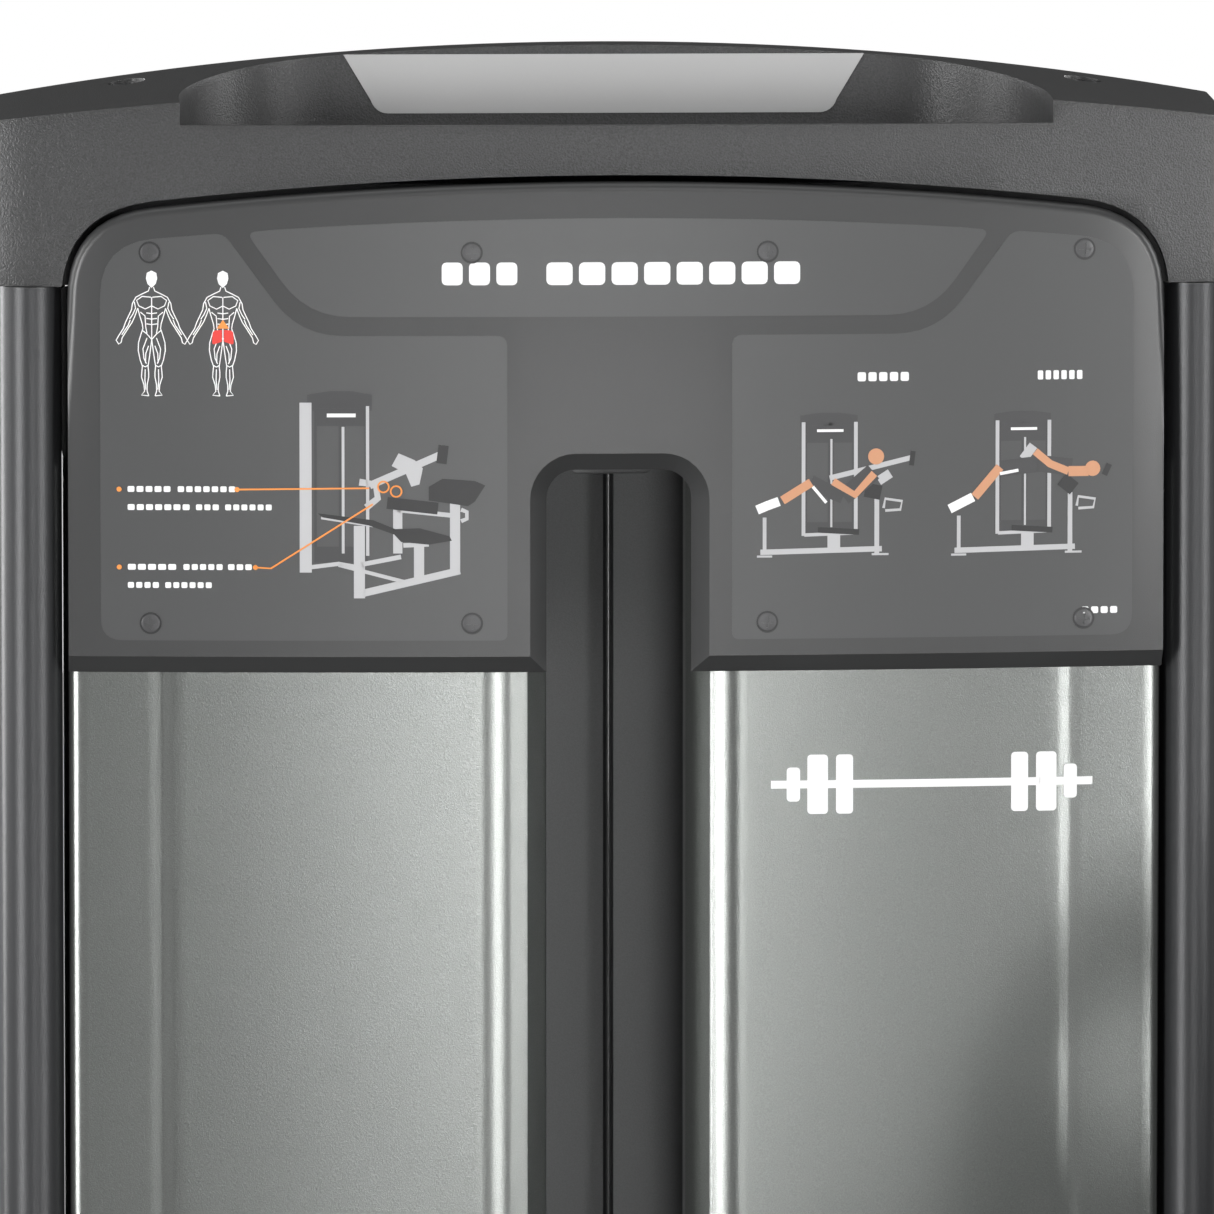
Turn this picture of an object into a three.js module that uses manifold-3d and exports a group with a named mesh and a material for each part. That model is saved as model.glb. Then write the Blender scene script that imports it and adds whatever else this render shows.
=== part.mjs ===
// Hip thrust machine: a weight stack tower beside a low bench, with a counterweighted press arm.
// Millimetres, +Z up. The tower is centred on X = 0 with the uprights' fronts at Y = 0, and the
// bench lies on its -Y side. The group is moved at the end, so that Z = 0 is the floor and the
// origin is below the middle of the whole machine.
import * as THREE from 'three';
import { mergeVertices } from 'three/addons/utils/BufferGeometryUtils.js';
import Module from 'manifold-3d';

const wasm = await Module();
wasm.setup();

// ---- driving dimensions ----
const GAP = 0.3; // air between two pieces that touch
const RUN = 0.6; // radial clearance of a pin or rod in its hole

// tower
const TOWER_WIDTH = 680;
const TOWER_DEPTH = 150;
const TOWER_HEIGHT = 1508;
const UPRIGHT_WIDTH = 34;
const TUBE_WALL = 3;
const FRONT_BOW = 26; // how far the middle of the front stands forward of its sides
const INFILL_GAP = 3; // shadow gap between the uprights and what is between them
const BASE_HEIGHT = 40;
const FOOT_HEIGHT = 12;
const FOOT_RADIUS = 28;

// head cap and its shelf
const SKIRT_BOTTOM = TOWER_HEIGHT - 129;
const SHOULDER_DROP = 29; // the ridge is this much lower at the tower's sides
const CAP_FRONT_TOP = TOWER_HEIGHT - 18;
const CAP_INSET = 6; // the cap's front lies this far behind the panel's front
const CAP_WALL = 4;
const RIDGE_FROM_BACK = 26;
const SHELF_WIDTH = 482;
const SHELF_FLOOR = TOWER_HEIGHT - 60;
const SHELF_RIM = TOWER_HEIGHT - 40;
const SHELF_BACK_FROM_RIDGE = 12;

// instruction panel and shields
const PANEL_TOP = TOWER_HEIGHT - 71;
const PANEL_HEIGHT = 271;
const PANEL_BOTTOM = PANEL_TOP - PANEL_HEIGHT;
const PANEL_CORNER = 46;
const PANEL_THICKNESS = 10.7;
const ARCH_RISE = 20; // of the panel's top edge, from its sides to its middle
const SLOT_WIDTH = 80;
const SLOT_TOP = PANEL_BOTTOM + 112;
const SLOT_CORNER = 14;
const SHEET = 3;
const SHIELD_BOTTOM = 170;
const SHIELD_TOP = SLOT_TOP + 2;
const SHIELD_FLANGE = 28; // depth of the folded edge beside the slot

// weight stack
const PLATE_WIDTH = 220;
const PLATE_DEPTH = 80;
const PLATE_HEIGHT = 24;
const LOWER_PLATES = 10;
const RESTING_PLATES = 2;
const LIFTED_PLATES = 2;
const BUFFER_HEIGHT = 24;
const GUIDE_RADIUS = 9;
const GUIDE_SPACING = PLATE_WIDTH - 50;
const SELECTOR_RADIUS = 10;
const PIN_RADIUS = 4.5;
const TOP_BEAM_BOTTOM = SLOT_TOP + 12;
const TOP_BEAM_HEIGHT = 40;
const TOP_BEAM_DEPTH = 60;

// cable and pulleys
const CABLE_RADIUS = 3;
const PULLEY_PITCH_RADIUS = 38; // to the middle of the cable
const PULLEY_WIDTH = 16;
const PULLEY_PIN_RADIUS = 6;
const PULLEY_CLEARANCE = 12; // between a pulley and the beam below it
const DROP_X = 4 * PULLEY_PITCH_RADIUS + 28; // where the cable comes down beside the stack
const RISER_X = DROP_X + 2 * PULLEY_PITCH_RADIUS + 84; // where it climbs to the cam
const CHEEK = 4;
const CHEEK_GAP = 2; // between a pulley and its bracket

// pivot, cam and press arm
const PIVOT_Y = -280;
const PIVOT_Z = 841;
const SHAFT_RADIUS = 15;
const CAM_PITCH_RADIUS = 200;
const PIVOT_X = RISER_X + CAM_PITCH_RADIUS;
const CAM_THICKNESS = 20;
const CAM_FROM_POST = 5;
const INDEX_RADIUS = 135;
const INDEX_SLOT_RADIUS = 110;
const INDEX_THICKNESS = 8;
const START_RANGE = 24; // degrees of start position adjustment
const ARM_SLOPE = 13; // degrees, roller end low
const ARM_LENGTH = 555; // pivot to the roller hinge
const ARM_TAIL = 300; // pivot to the counterweight
const ARM_WIDTH = 50;
const ARM_HEIGHT = 60;
const ARM_GAP = 4; // between the arm and the index plate
const COUNTERWEIGHT = { length: 90, width: 120, height: 170 };
const KNOB_RADIUS = 22;
const KNOB_LENGTH = 28;
const SCREW_RADIUS = 6;
const HINGE_SCREW_RADIUS = 8;

// padded roller
const ROLLER_DROP = 96; // roller axis below its hinge
const ROLLER_RADIUS = 75;
const ROLLER_WIDTH = 400;
const ROLLER_SHAFT_RADIUS = 12;
const HANDLE_RADIUS = 9;
const HANDLE_LENGTH = 150;
const HANDLE_LEAN = 40; // degrees towards the feet
const GRIP_RADIUS = 16;
const GRIP_LENGTH = 105;
const LINK_THICKNESS = 8;
const LINK_WIDTH = 60;

// bench
const MIDPLANE_Y = -625; // the middle of the person using the machine
const RAIL = 60; // square tube of the rails and posts
const POST_WIDTH = 50; // across the rear rail and the pivot post
const MAIN_RAIL_FROM = -704;
const MAIN_RAIL_TO = PIVOT_X + 50;
const SPINE_X = 60;
const FOOT_POST_X = -647;
const FOOT_PLATE = { x: -672, z: 400, length: 353, width: 700, thickness: 12, tilt: 18 };
const SEAT_POST_X = 50;
const SEAT_PLATE_TOP = 208;
const SEAT_PAD = { from: -110, to: 322, width: 320, thickness: 82, corner: 30 };
const HEAD_POST_TOP = 470;
const STEM = 50;
const STEM_BOTTOM = 200;
const BACK_BOARD = 10;
const BACK_BOARD_LIFT = 30; // from the head post's top to the board
const BACK_PAD = { from: PIVOT_X - 140, to: PIVOT_X + 100, width: 460, height: 210 };
const BACK_KNOB_Z = 430;
const CROSSBAR_Z = 400;
const CROSSBAR_WIDTH = 56;
const CROSSBAR_HEIGHT = 50;
const TRAY = { length: 200, width: 250, bottom: 380, height: 115, wall: 5 };
const BRACE_Z = 590;
const BRACE_HEIGHT = 50;
const POST_TOP_ABOVE_PIVOT = 54;

const rad = THREE.MathUtils.degToRad;

// ---- geometry helpers ----

// A closed mesh as a manifold solid, for joining and cutting.
function solid(geometry) {
  const bare = geometry.clone();
  bare.deleteAttribute('normal');
  bare.deleteAttribute('uv');
  const merged = mergeVertices(bare, 1e-4);
  return new wasm.Manifold(new wasm.Mesh({
    numProp: 3,
    vertProperties: new Float32Array(merged.attributes.position.array),
    triVerts: new Uint32Array(merged.index.array),
  }));
}

function meshOf(manifold) {
  const { vertProperties, triVerts } = manifold.getMesh();
  const geometry = new THREE.BufferGeometry();
  geometry.setAttribute('position', new THREE.BufferAttribute(vertProperties, 3));
  geometry.setIndex(new THREE.BufferAttribute(triVerts, 1));
  geometry.computeVertexNormals();
  return geometry;
}

function join(first, ...others) {
  return meshOf(others.reduce((body, other) => body.add(solid(other)), solid(first)));
}

function cut(first, ...tools) {
  return meshOf(tools.reduce((body, tool) => body.subtract(solid(tool)), solid(first)));
}

function common(first, ...others) {
  return meshOf(others.reduce((body, other) => body.intersect(solid(other)), solid(first)));
}

function box(x0, x1, y0, y1, z0, z1) {
  const geometry = new THREE.BoxGeometry(x1 - x0, y1 - y0, z1 - z0);
  return geometry.translate((x0 + x1) / 2, (y0 + y1) / 2, (z0 + z1) / 2);
}

// Round bars along each axis, from a to b.
function roundX(radius, a, b, y, z, sides = 16) {
  const geometry = new THREE.CylinderGeometry(radius, radius, b - a, sides).rotateZ(Math.PI / 2);
  return geometry.translate((a + b) / 2, y, z);
}

function roundY(radius, a, b, x, z, sides = 16) {
  return new THREE.CylinderGeometry(radius, radius, b - a, sides).translate(x, (a + b) / 2, z);
}

function roundZ(radius, a, b, x, y, sides = 16) {
  const geometry = new THREE.CylinderGeometry(radius, radius, b - a, sides).rotateX(Math.PI / 2);
  return geometry.translate(x, y, (a + b) / 2);
}

// Outlines drawn in XY, XZ and YZ, extruded along the third axis from a to b.
function extrudeZ(shape, a, b, curveSegments = 6) {
  const options = { depth: b - a, bevelEnabled: false, curveSegments };
  return new THREE.ExtrudeGeometry(shape, options).translate(0, 0, a);
}

function extrudeY(shape, a, b, curveSegments = 6) {
  return extrudeZ(shape, 0, b - a, curveSegments).rotateX(Math.PI / 2).translate(0, b, 0);
}

function extrudeX(shape, a, b, curveSegments = 6) {
  const turn = new THREE.Matrix4().makeBasis(
    new THREE.Vector3(0, 1, 0),
    new THREE.Vector3(0, 0, 1),
    new THREE.Vector3(1, 0, 0),
  );
  return extrudeZ(shape, 0, b - a, curveSegments).applyMatrix4(turn).translate(a, 0, 0);
}

function polygon(points) {
  return new THREE.Shape(points.map(([x, y]) => new THREE.Vector2(x, y)));
}

function rectangle(x0, x1, y0, y1) {
  return polygon([[x0, y0], [x1, y0], [x1, y1], [x0, y1]]);
}

function roundedRectangle(x0, x1, y0, y1, r) {
  const shape = new THREE.Shape();
  shape.moveTo(x0 + r, y0);
  shape.absarc(x1 - r, y0 + r, r, -Math.PI / 2, 0);
  shape.absarc(x1 - r, y1 - r, r, 0, Math.PI / 2);
  shape.absarc(x0 + r, y1 - r, r, Math.PI / 2, Math.PI);
  shape.absarc(x0 + r, y0 + r, r, Math.PI, Math.PI * 1.5);
  return shape;
}

// The cross-section of a tube: an outline with the same outline, one wall in, as its hole.
function tubeSection(outline, x0, x1, y0, y1, wall, ...rest) {
  const shape = outline(x0, x1, y0, y1, ...rest);
  const insideRest = rest.map((r) => r - wall);
  shape.holes.push(outline(x0 + wall, x1 - wall, y0 + wall, y1 - wall, ...insideRest));
  return shape;
}

const halfWidth = TOWER_WIDTH / 2;
const midDepth = TOWER_DEPTH / 2;

// Y of the tower's bowed front, straight along Z.
function bowY(x) {
  return -FRONT_BOW * (1 - (x / halfWidth) ** 2);
}

// A plan outline between two bowed lines, from x0 to x1.
function bowedPlan(x0, x1, inset, thickness, steps = 12) {
  const xs = Array.from({ length: steps + 1 }, (_, i) => x0 + ((x1 - x0) * i) / steps);
  const front = xs.map((x) => [x, bowY(x) + inset]);
  const back = xs.reverse().map((x) => [x, bowY(x) + inset + thickness]);
  return polygon([...front, ...back]);
}

// ---- the scene graph ----

const model = new THREE.Group();

const paint = {
  charcoal: { color: 0x3a3b3d, roughness: 0.55, metalness: 0.4 },
  cap: { color: 0x4b4c4e, roughness: 0.8, metalness: 0.0 },
  placard: { color: 0x5c5d5e, roughness: 0.6, metalness: 0.0 },
  shield: { color: 0x8c8e8c, roughness: 0.35, metalness: 0.6 },
  weight: { color: 0x2d2e30, roughness: 0.6, metalness: 0.5 },
  chrome: { color: 0xc8cacc, roughness: 0.2, metalness: 1.0 },
  cable: { color: 0x1c1c1d, roughness: 0.5, metalness: 0.0 },
  pulley: { color: 0x262729, roughness: 0.5, metalness: 0.0 },
  rubber: { color: 0x1f2021, roughness: 0.9, metalness: 0.0 },
  upholstery: { color: 0x202123, roughness: 0.6, metalness: 0.0 },
  orange: { color: 0xe0601a, roughness: 0.45, metalness: 0.0 },
};

function add(name, geometry, look, parent = model) {
  const mesh = new THREE.Mesh(geometry, new THREE.MeshStandardMaterial(paint[look]));
  mesh.name = name;
  parent.add(mesh);
  return mesh;
}

// ---- tower structure ----

const baseBottom = FOOT_HEIGHT;
const baseTop = baseBottom + BASE_HEIGHT;
const uprightInner = halfWidth - UPRIGHT_WIDTH;
const infill = uprightInner - INFILL_GAP;

function foot(x, y, radius = FOOT_RADIUS) {
  return roundZ(radius, 0, FOOT_HEIGHT + TUBE_WALL / 2, x, y);
}

function towerBase() {
  const section = tubeSection(rectangle, 0, TOWER_DEPTH, baseBottom, baseTop, TUBE_WALL);
  const feetX = halfWidth - FOOT_RADIUS - INFILL_GAP;
  const feetY = [FOOT_RADIUS + INFILL_GAP, TOWER_DEPTH - FOOT_RADIUS - INFILL_GAP];
  const feet = feetY.flatMap((y) => [foot(-feetX, y), foot(feetX, y)]);
  return join(extrudeX(section, -halfWidth, halfWidth), ...feet);
}

function upright(side) {
  const x0 = side < 0 ? -halfWidth : uprightInner;
  const radius = UPRIGHT_WIDTH / 2 - 0.01;
  const section = tubeSection(
    roundedRectangle, x0, x0 + UPRIGHT_WIDTH, 0, TOWER_DEPTH, TUBE_WALL, radius,
  );
  return extrudeZ(section, baseTop + GAP, SKIRT_BOTTOM - GAP, 5);
}

const topBeamTop = TOP_BEAM_BOTTOM + TOP_BEAM_HEIGHT;

function topBeam() {
  const y0 = midDepth - TOP_BEAM_DEPTH / 2;
  const section = tubeSection(
    rectangle, y0, y0 + TOP_BEAM_DEPTH, TOP_BEAM_BOTTOM, topBeamTop, TUBE_WALL,
  );
  const end = uprightInner - GAP;
  const holes = [0, DROP_X].map((x) => roundZ(
    CABLE_RADIUS * 3, TOP_BEAM_BOTTOM - 1, topBeamTop + 1, x, midDepth,
  ));
  return cut(extrudeX(section, -end, end), ...holes);
}

add('tower_base', towerBase(), 'charcoal');
add('left_upright', upright(-1), 'charcoal');
add('right_upright', upright(1), 'charcoal');
add('top_beam', topBeam(), 'charcoal');

// ---- head cap with its shelf ----

const archK = ARCH_RISE / infill ** 2;

// The outline of the instruction panel's top, grown by a margin, down to the height given.
function archOutline(margin, bottom) {
  const x = infill + margin;
  const r = PANEL_CORNER + margin;
  const archZ = (at) => PANEL_TOP + margin - archK * at * at;
  const shape = new THREE.Shape();
  shape.moveTo(-x, bottom);
  shape.lineTo(-x, archZ(x) - r);
  shape.quadraticCurveTo(-x, archZ(x), -x + r, archZ(x - r));
  shape.quadraticCurveTo(0, 2 * archZ(0) - archZ(x - r), x - r, archZ(x - r));
  shape.quadraticCurveTo(x, archZ(x), x, archZ(x) - r);
  shape.lineTo(x, bottom);
  return shape;
}

const ridgeY = TOWER_DEPTH - RIDGE_FROM_BACK;
const shelfBackY = ridgeY - SHELF_BACK_FROM_RIDGE;

function capFrontOutline() {
  const shoulder = TOWER_HEIGHT - SHOULDER_DROP;
  const shape = new THREE.Shape();
  shape.moveTo(-halfWidth, SKIRT_BOTTOM);
  shape.lineTo(-halfWidth, shoulder - 12);
  shape.quadraticCurveTo(-halfWidth, shoulder, -halfWidth + 12, shoulder + 1);
  shape.quadraticCurveTo(0, TOWER_HEIGHT + SHOULDER_DROP - 1, halfWidth - 12, shoulder + 1);
  shape.quadraticCurveTo(halfWidth, shoulder, halfWidth, shoulder - 12);
  shape.lineTo(halfWidth, SKIRT_BOTTOM);
  return shape;
}

function capSideOutline() {
  return polygon([
    [-FRONT_BOW, SKIRT_BOTTOM],
    [TOWER_DEPTH, SKIRT_BOTTOM],
    [TOWER_DEPTH, CAP_FRONT_TOP - 6],
    [ridgeY, TOWER_HEIGHT],
    [-FRONT_BOW, CAP_FRONT_TOP],
  ]);
}

// The shelf in plan: open behind the front rim, with a back wall that comes forward at its ends.
function shelfOutline() {
  const x = SHELF_WIDTH / 2;
  const front = bowY(x) + CAP_INSET + CAP_WALL;
  const shape = new THREE.Shape();
  shape.moveTo(-x, front);
  shape.lineTo(x, front);
  shape.lineTo(x, midDepth / 2);
  shape.quadraticCurveTo(x, shelfBackY, x / 2, shelfBackY);
  shape.lineTo(-x / 2, shelfBackY);
  shape.quadraticCurveTo(-x, shelfBackY, -x, midDepth / 2);
  return shape;
}

function headCap() {
  const plan = bowedPlan(-halfWidth, halfWidth, CAP_INSET, TOWER_DEPTH + FRONT_BOW, 16);
  const outside = common(
    extrudeY(capFrontOutline(), -FRONT_BOW, TOWER_DEPTH, 8),
    extrudeX(capSideOutline(), -halfWidth, halfWidth),
    extrudeZ(plan, SKIRT_BOTTOM, TOWER_HEIGHT + 1),
  );
  const inner = halfWidth - CAP_WALL;
  const hollow = common(
    extrudeZ(bowedPlan(-inner, inner, CAP_INSET + CAP_WALL, TOWER_DEPTH), 0, TOWER_HEIGHT),
    box(-inner, inner, -FRONT_BOW, TOWER_DEPTH - CAP_WALL, 0, SHELF_FLOOR - CAP_WALL),
  );
  const panelNotch = extrudeY(archOutline(INFILL_GAP, 0), -FRONT_BOW - 1, midDepth / 2);
  const shelf = extrudeZ(shelfOutline(), SHELF_FLOOR, TOWER_HEIGHT + 1, 5);
  const rimX = SHELF_WIDTH / 2;
  const rimNotch = box(-rimX, rimX, -FRONT_BOW - 1, midDepth / 2, SHELF_RIM, TOWER_HEIGHT + 1);
  return cut(outside, hollow, panelNotch, shelf, rimNotch);
}

add('head_cap', headCap(), 'cap');

// ---- instruction panel and shields ----

function instructionPanel() {
  const half = SLOT_WIDTH / 2;
  const slot = roundedRectangle(-half, half, PANEL_BOTTOM - 50, SLOT_TOP, SLOT_CORNER);
  const slab = bowedPlan(-infill, infill, 0, PANEL_THICKNESS, 16);
  const plate = common(
    extrudeY(archOutline(0, PANEL_BOTTOM), -FRONT_BOW - 1, FRONT_BOW, 8),
    extrudeZ(slab, PANEL_BOTTOM, PANEL_TOP),
  );
  return cut(plate, extrudeY(slot, -FRONT_BOW - 1, FRONT_BOW, 4));
}

// A bowed sheet with folded edges beside the slot and beside the upright.
function shield(side) {
  const inset = PANEL_THICKNESS + GAP;
  const inner = SLOT_WIDTH / 2 - 2;
  const steps = 8;
  const xs = Array.from({ length: steps + 1 }, (_, i) => inner + ((infill - inner) * i) / steps);
  const front = xs.map((x) => [x, bowY(x) + inset]);
  const inside = xs.map((x) => THREE.MathUtils.clamp(x, inner + SHEET, infill - SHEET));
  const back = inside.reverse().map((x) => [x, bowY(x) + inset + SHEET]);
  const outline = [
    [inner, SHIELD_FLANGE],
    ...front,
    [infill, SHIELD_FLANGE * 1.5],
    [infill - SHEET, SHIELD_FLANGE * 1.5],
    ...back,
    [inner + SHEET, SHIELD_FLANGE],
  ];
  return extrudeZ(polygon(outline.map(([x, y]) => [side * x, y])), SHIELD_BOTTOM, SHIELD_TOP);
}

const rearShieldY = TOWER_DEPTH - 10;

add('instruction_panel', instructionPanel(), 'placard');
add('left_shield', shield(-1), 'shield');
add('right_shield', shield(1), 'shield');
add('rear_shield', box(
  -infill, infill, rearShieldY, rearShieldY + SHEET, baseTop + 8, SKIRT_BOTTOM - 8,
), 'charcoal');

// ---- weight stack ----

const plateY0 = midDepth - PLATE_DEPTH / 2;
const plateY1 = midDepth + PLATE_DEPTH / 2;
const pitch = PLATE_HEIGHT + GAP;
const bufferTop = baseTop + GAP + BUFFER_HEIGHT;
const guideX = [-GUIDE_SPACING / 2, GUIDE_SPACING / 2];
const plateZ = (index) => bufferTop + GAP + pitch * index;
const pinZ = (index) => plateZ(index) + PLATE_HEIGHT / 2;
const firstLifted = LOWER_PLATES + RESTING_PLATES;
const topIndex = firstLifted + LIFTED_PLATES;
const stackTop = plateZ(topIndex) + PLATE_HEIGHT;
const BUSH_HEIGHT = 36;
const SOCKET_HEIGHT = 44;

function stackHoles(z0, z1) {
  const guides = guideX.map((x) => roundZ(GUIDE_RADIUS + RUN, z0 - 1, z1 + 1, x, midDepth));
  return [...guides, roundZ(SELECTOR_RADIUS + RUN, z0 - 1, z1 + 1, 0, midDepth)];
}

// The slot in a plate's front that the selector pin goes into.
function pinSlot(index) {
  const half = PIN_RADIUS + RUN;
  return box(-half, half, plateY0 - 1, midDepth, pinZ(index) - half, pinZ(index) + half);
}

function plate(index) {
  const z = plateZ(index);
  const blank = box(-PLATE_WIDTH / 2, PLATE_WIDTH / 2, plateY0, plateY1, z, z + PLATE_HEIGHT);
  return cut(blank, ...stackHoles(z, z + PLATE_HEIGHT), pinSlot(index));
}

// The lowest plates never part, so they are one block with a groove at each joint.
function lowerPlates() {
  const z0 = plateZ(0);
  const z1 = plateZ(LOWER_PLATES) - GAP;
  const groove = 1.5;
  const section = [];
  for (let i = 0; i < LOWER_PLATES; i += 1) {
    const from = plateZ(i);
    const to = from + PLATE_HEIGHT;
    section.push([plateY0 + groove, from], [plateY0, from + groove]);
    section.push([plateY0, to - groove], [plateY0 + groove, to]);
  }
  const mirrored = section.map(([y, z]) => [TOWER_DEPTH - y, z]).reverse();
  const block = extrudeX(polygon([...section, ...mirrored]), -PLATE_WIDTH / 2, PLATE_WIDTH / 2);
  const slots = Array.from({ length: LOWER_PLATES }, (_, i) => pinSlot(i));
  return cut(block, ...stackHoles(z0, z1), ...slots);
}

function topWeight() {
  const z = plateZ(topIndex);
  const blank = box(-PLATE_WIDTH / 2, PLATE_WIDTH / 2, plateY0, plateY1, z, stackTop);
  const bushes = guideX.map((x) => roundZ(
    GUIDE_RADIUS * 1.8, z + 1, stackTop + BUSH_HEIGHT, x, midDepth,
  ));
  return cut(join(blank, ...bushes), ...stackHoles(z, stackTop + BUSH_HEIGHT));
}

function selectorRod() {
  const bottom = plateZ(0) + PLATE_HEIGHT / 3;
  const top = stackTop + SOCKET_HEIGHT;
  const bar = roundZ(SELECTOR_RADIUS, bottom, top - 10, 0, midDepth);
  const collar = roundZ(SELECTOR_RADIUS + 6, stackTop + GAP, stackTop + 14, 0, midDepth);
  const socket = roundZ(SELECTOR_RADIUS - 3, top - 12, top, 0, midDepth);
  const holes = Array.from({ length: topIndex - 1 }, (_, i) => roundY(
    PIN_RADIUS + RUN, midDepth - 20, midDepth + 20, 0, pinZ(i + 1), 8,
  ));
  return cut(join(bar, collar, socket), ...holes);
}

function selectorPin() {
  const knobFront = plateY0 - KNOB_LENGTH - 8;
  const shank = roundY(PIN_RADIUS, knobFront + 8, midDepth + 8, 0, pinZ(firstLifted), 12);
  const knob = roundY(12, knobFront, plateY0 - 6, 0, pinZ(firstLifted));
  return join(shank, knob);
}

const bufferBlank = box(
  -PLATE_WIDTH / 2, PLATE_WIDTH / 2, plateY0, plateY1, baseTop + GAP, bufferTop,
);
add('stack_buffer', cut(bufferBlank, ...stackHoles(baseTop, bufferTop)), 'rubber');
['left_guide_rod', 'right_guide_rod'].forEach((name, i) => {
  const bar = roundZ(GUIDE_RADIUS, baseTop + GAP, TOP_BEAM_BOTTOM - GAP, guideX[i], midDepth);
  add(name, bar, 'chrome');
});
add('lower_plates', lowerPlates(), 'weight');
for (let i = 0; i < RESTING_PLATES; i += 1) {
  add(`resting_plate_${i + 1}`, plate(LOWER_PLATES + i), 'weight');
}
for (let i = 0; i < LIFTED_PLATES; i += 1) {
  add(`lifted_plate_${i + 1}`, plate(firstLifted + i), 'weight');
}
add('top_weight', topWeight(), 'weight');
add('selector_rod', selectorRod(), 'chrome');
add('selector_pin', selectorPin(), 'orange');

// ---- pulleys and their brackets ----

const rimRadius = PULLEY_PITCH_RADIUS + 5;
const cableY = PIVOT_Y + POST_WIDTH / 2 + CAM_FROM_POST + CAM_THICKNESS / 2;
const railBottom = FOOT_HEIGHT;
const railTop = railBottom + RAIL;
const runZ = baseTop + 10; // the cable's height along the floor
const railSide = PIVOT_Y + POST_WIDTH / 2;

const topPulleyZ = topBeamTop + PULLEY_CLEARANCE + rimRadius;

const pulleyAt = {
  top_inner: [PULLEY_PITCH_RADIUS, midDepth, topPulleyZ],
  top_outer: [DROP_X - PULLEY_PITCH_RADIUS, midDepth, topPulleyZ],
  base_corner: [DROP_X, midDepth - PULLEY_PITCH_RADIUS, runZ + PULLEY_PITCH_RADIUS],
  turning: [DROP_X + PULLEY_PITCH_RADIUS, cableY + PULLEY_PITCH_RADIUS, runZ],
  riser: [RISER_X - PULLEY_PITCH_RADIUS, cableY, runZ + PULLEY_PITCH_RADIUS],
};

// A grooved wheel on the Y axis: the groove's floor clears the cable by the usual gap.
function grooved(pitchRadius, width, bore, sides) {
  const floor = pitchRadius - CABLE_RADIUS - 2.5 * GAP;
  const rim = pitchRadius + CABLE_RADIUS + 2;
  const side = width / 2;
  const neck = CABLE_RADIUS + 0.6;
  const profile = [
    [bore, -side], [rim, -side], [rim, -side + 1.5], [floor, -neck],
    [floor, neck], [rim, side - 1.5], [rim, side], [bore, side], [bore, -side],
  ];
  return new THREE.LatheGeometry(profile.map(([r, y]) => new THREE.Vector2(r, y)), sides);
}

function addPulley(name, [x, y, z], turn) {
  const wheel = grooved(PULLEY_PITCH_RADIUS, PULLEY_WIDTH, PULLEY_PIN_RADIUS + RUN, 24);
  const mesh = add(`${name}_pulley`, wheel, 'pulley');
  mesh.rotation.set(...turn);
  mesh.position.set(x, y, z);
}

const cheekIn = PULLEY_WIDTH / 2 + CHEEK_GAP;
const cheekOut = cheekIn + CHEEK;

// Two cheeks and a foot that stands on the top beam, with the pulley's pin.
function topBracket([x, y, z]) {
  const foot0 = topBeamTop + GAP;
  const half = 20;
  const cheeks = [-1, 1].map((side) => box(
    x - half, x + half,
    Math.min(side * cheekIn, side * cheekOut) + y, Math.max(side * cheekIn, side * cheekOut) + y,
    foot0, z + half,
  ));
  const sole = box(x - half, x + half, y - cheekOut, y + cheekOut, foot0, foot0 + CHEEK);
  return join(sole, ...cheeks, roundY(PULLEY_PIN_RADIUS, y - cheekOut - 2, y + cheekOut + 2, x, z));
}

// Cheeks joined behind the cable, standing on the tower's base.
function cornerBracket([x, y, z]) {
  const webY = midDepth + 4 * CABLE_RADIUS;
  const plan = polygon([
    [x - cheekOut, y - 20], [x - cheekIn, y - 20], [x - cheekIn, webY], [x + cheekIn, webY],
    [x + cheekIn, y - 20], [x + cheekOut, y - 20], [x + cheekOut, webY + CHEEK],
    [x - cheekOut, webY + CHEEK],
  ]);
  const cheeks = extrudeZ(plan, baseTop + GAP, z + 20);
  return join(cheeks, roundX(PULLEY_PIN_RADIUS, x - cheekOut - 2, x + cheekOut + 2, y, z));
}

// A shelf from the side of the rear rail, below the pulley, with an upright pin.
function turningBracket([x, y, z]) {
  const side = railSide + GAP;
  const shelfTop = z - PULLEY_WIDTH / 2 - CHEEK_GAP;
  const shelf = box(x - 20, x + 20, side, y + 16, shelfTop - CHEEK, shelfTop);
  const flange = box(x - 20, x + 20, side, side + CHEEK, railBottom + 6, shelfTop);
  const top = z + PULLEY_WIDTH / 2 + 1;
  const pin = roundZ(PULLEY_PIN_RADIUS, shelfTop - 1, top + 1, x, y);
  return join(shelf, flange, pin, roundZ(PULLEY_PIN_RADIUS + 5, top, top + CHEEK, x, y));
}

// A plate on the side of the rear rail that stands up behind the pulley, with its pin.
function riserBracket([x, y, z]) {
  const side = railSide + GAP;
  const stand = box(x - 20, x + 20, side, y - cheekIn, railBottom + 6, z + 20);
  const end = y + PULLEY_WIDTH / 2 + 1;
  const pin = roundY(PULLEY_PIN_RADIUS, y - cheekIn - 1, end + 1, x, z);
  return join(stand, pin, roundY(PULLEY_PIN_RADIUS + 5, end, end + CHEEK, x, z));
}

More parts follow.
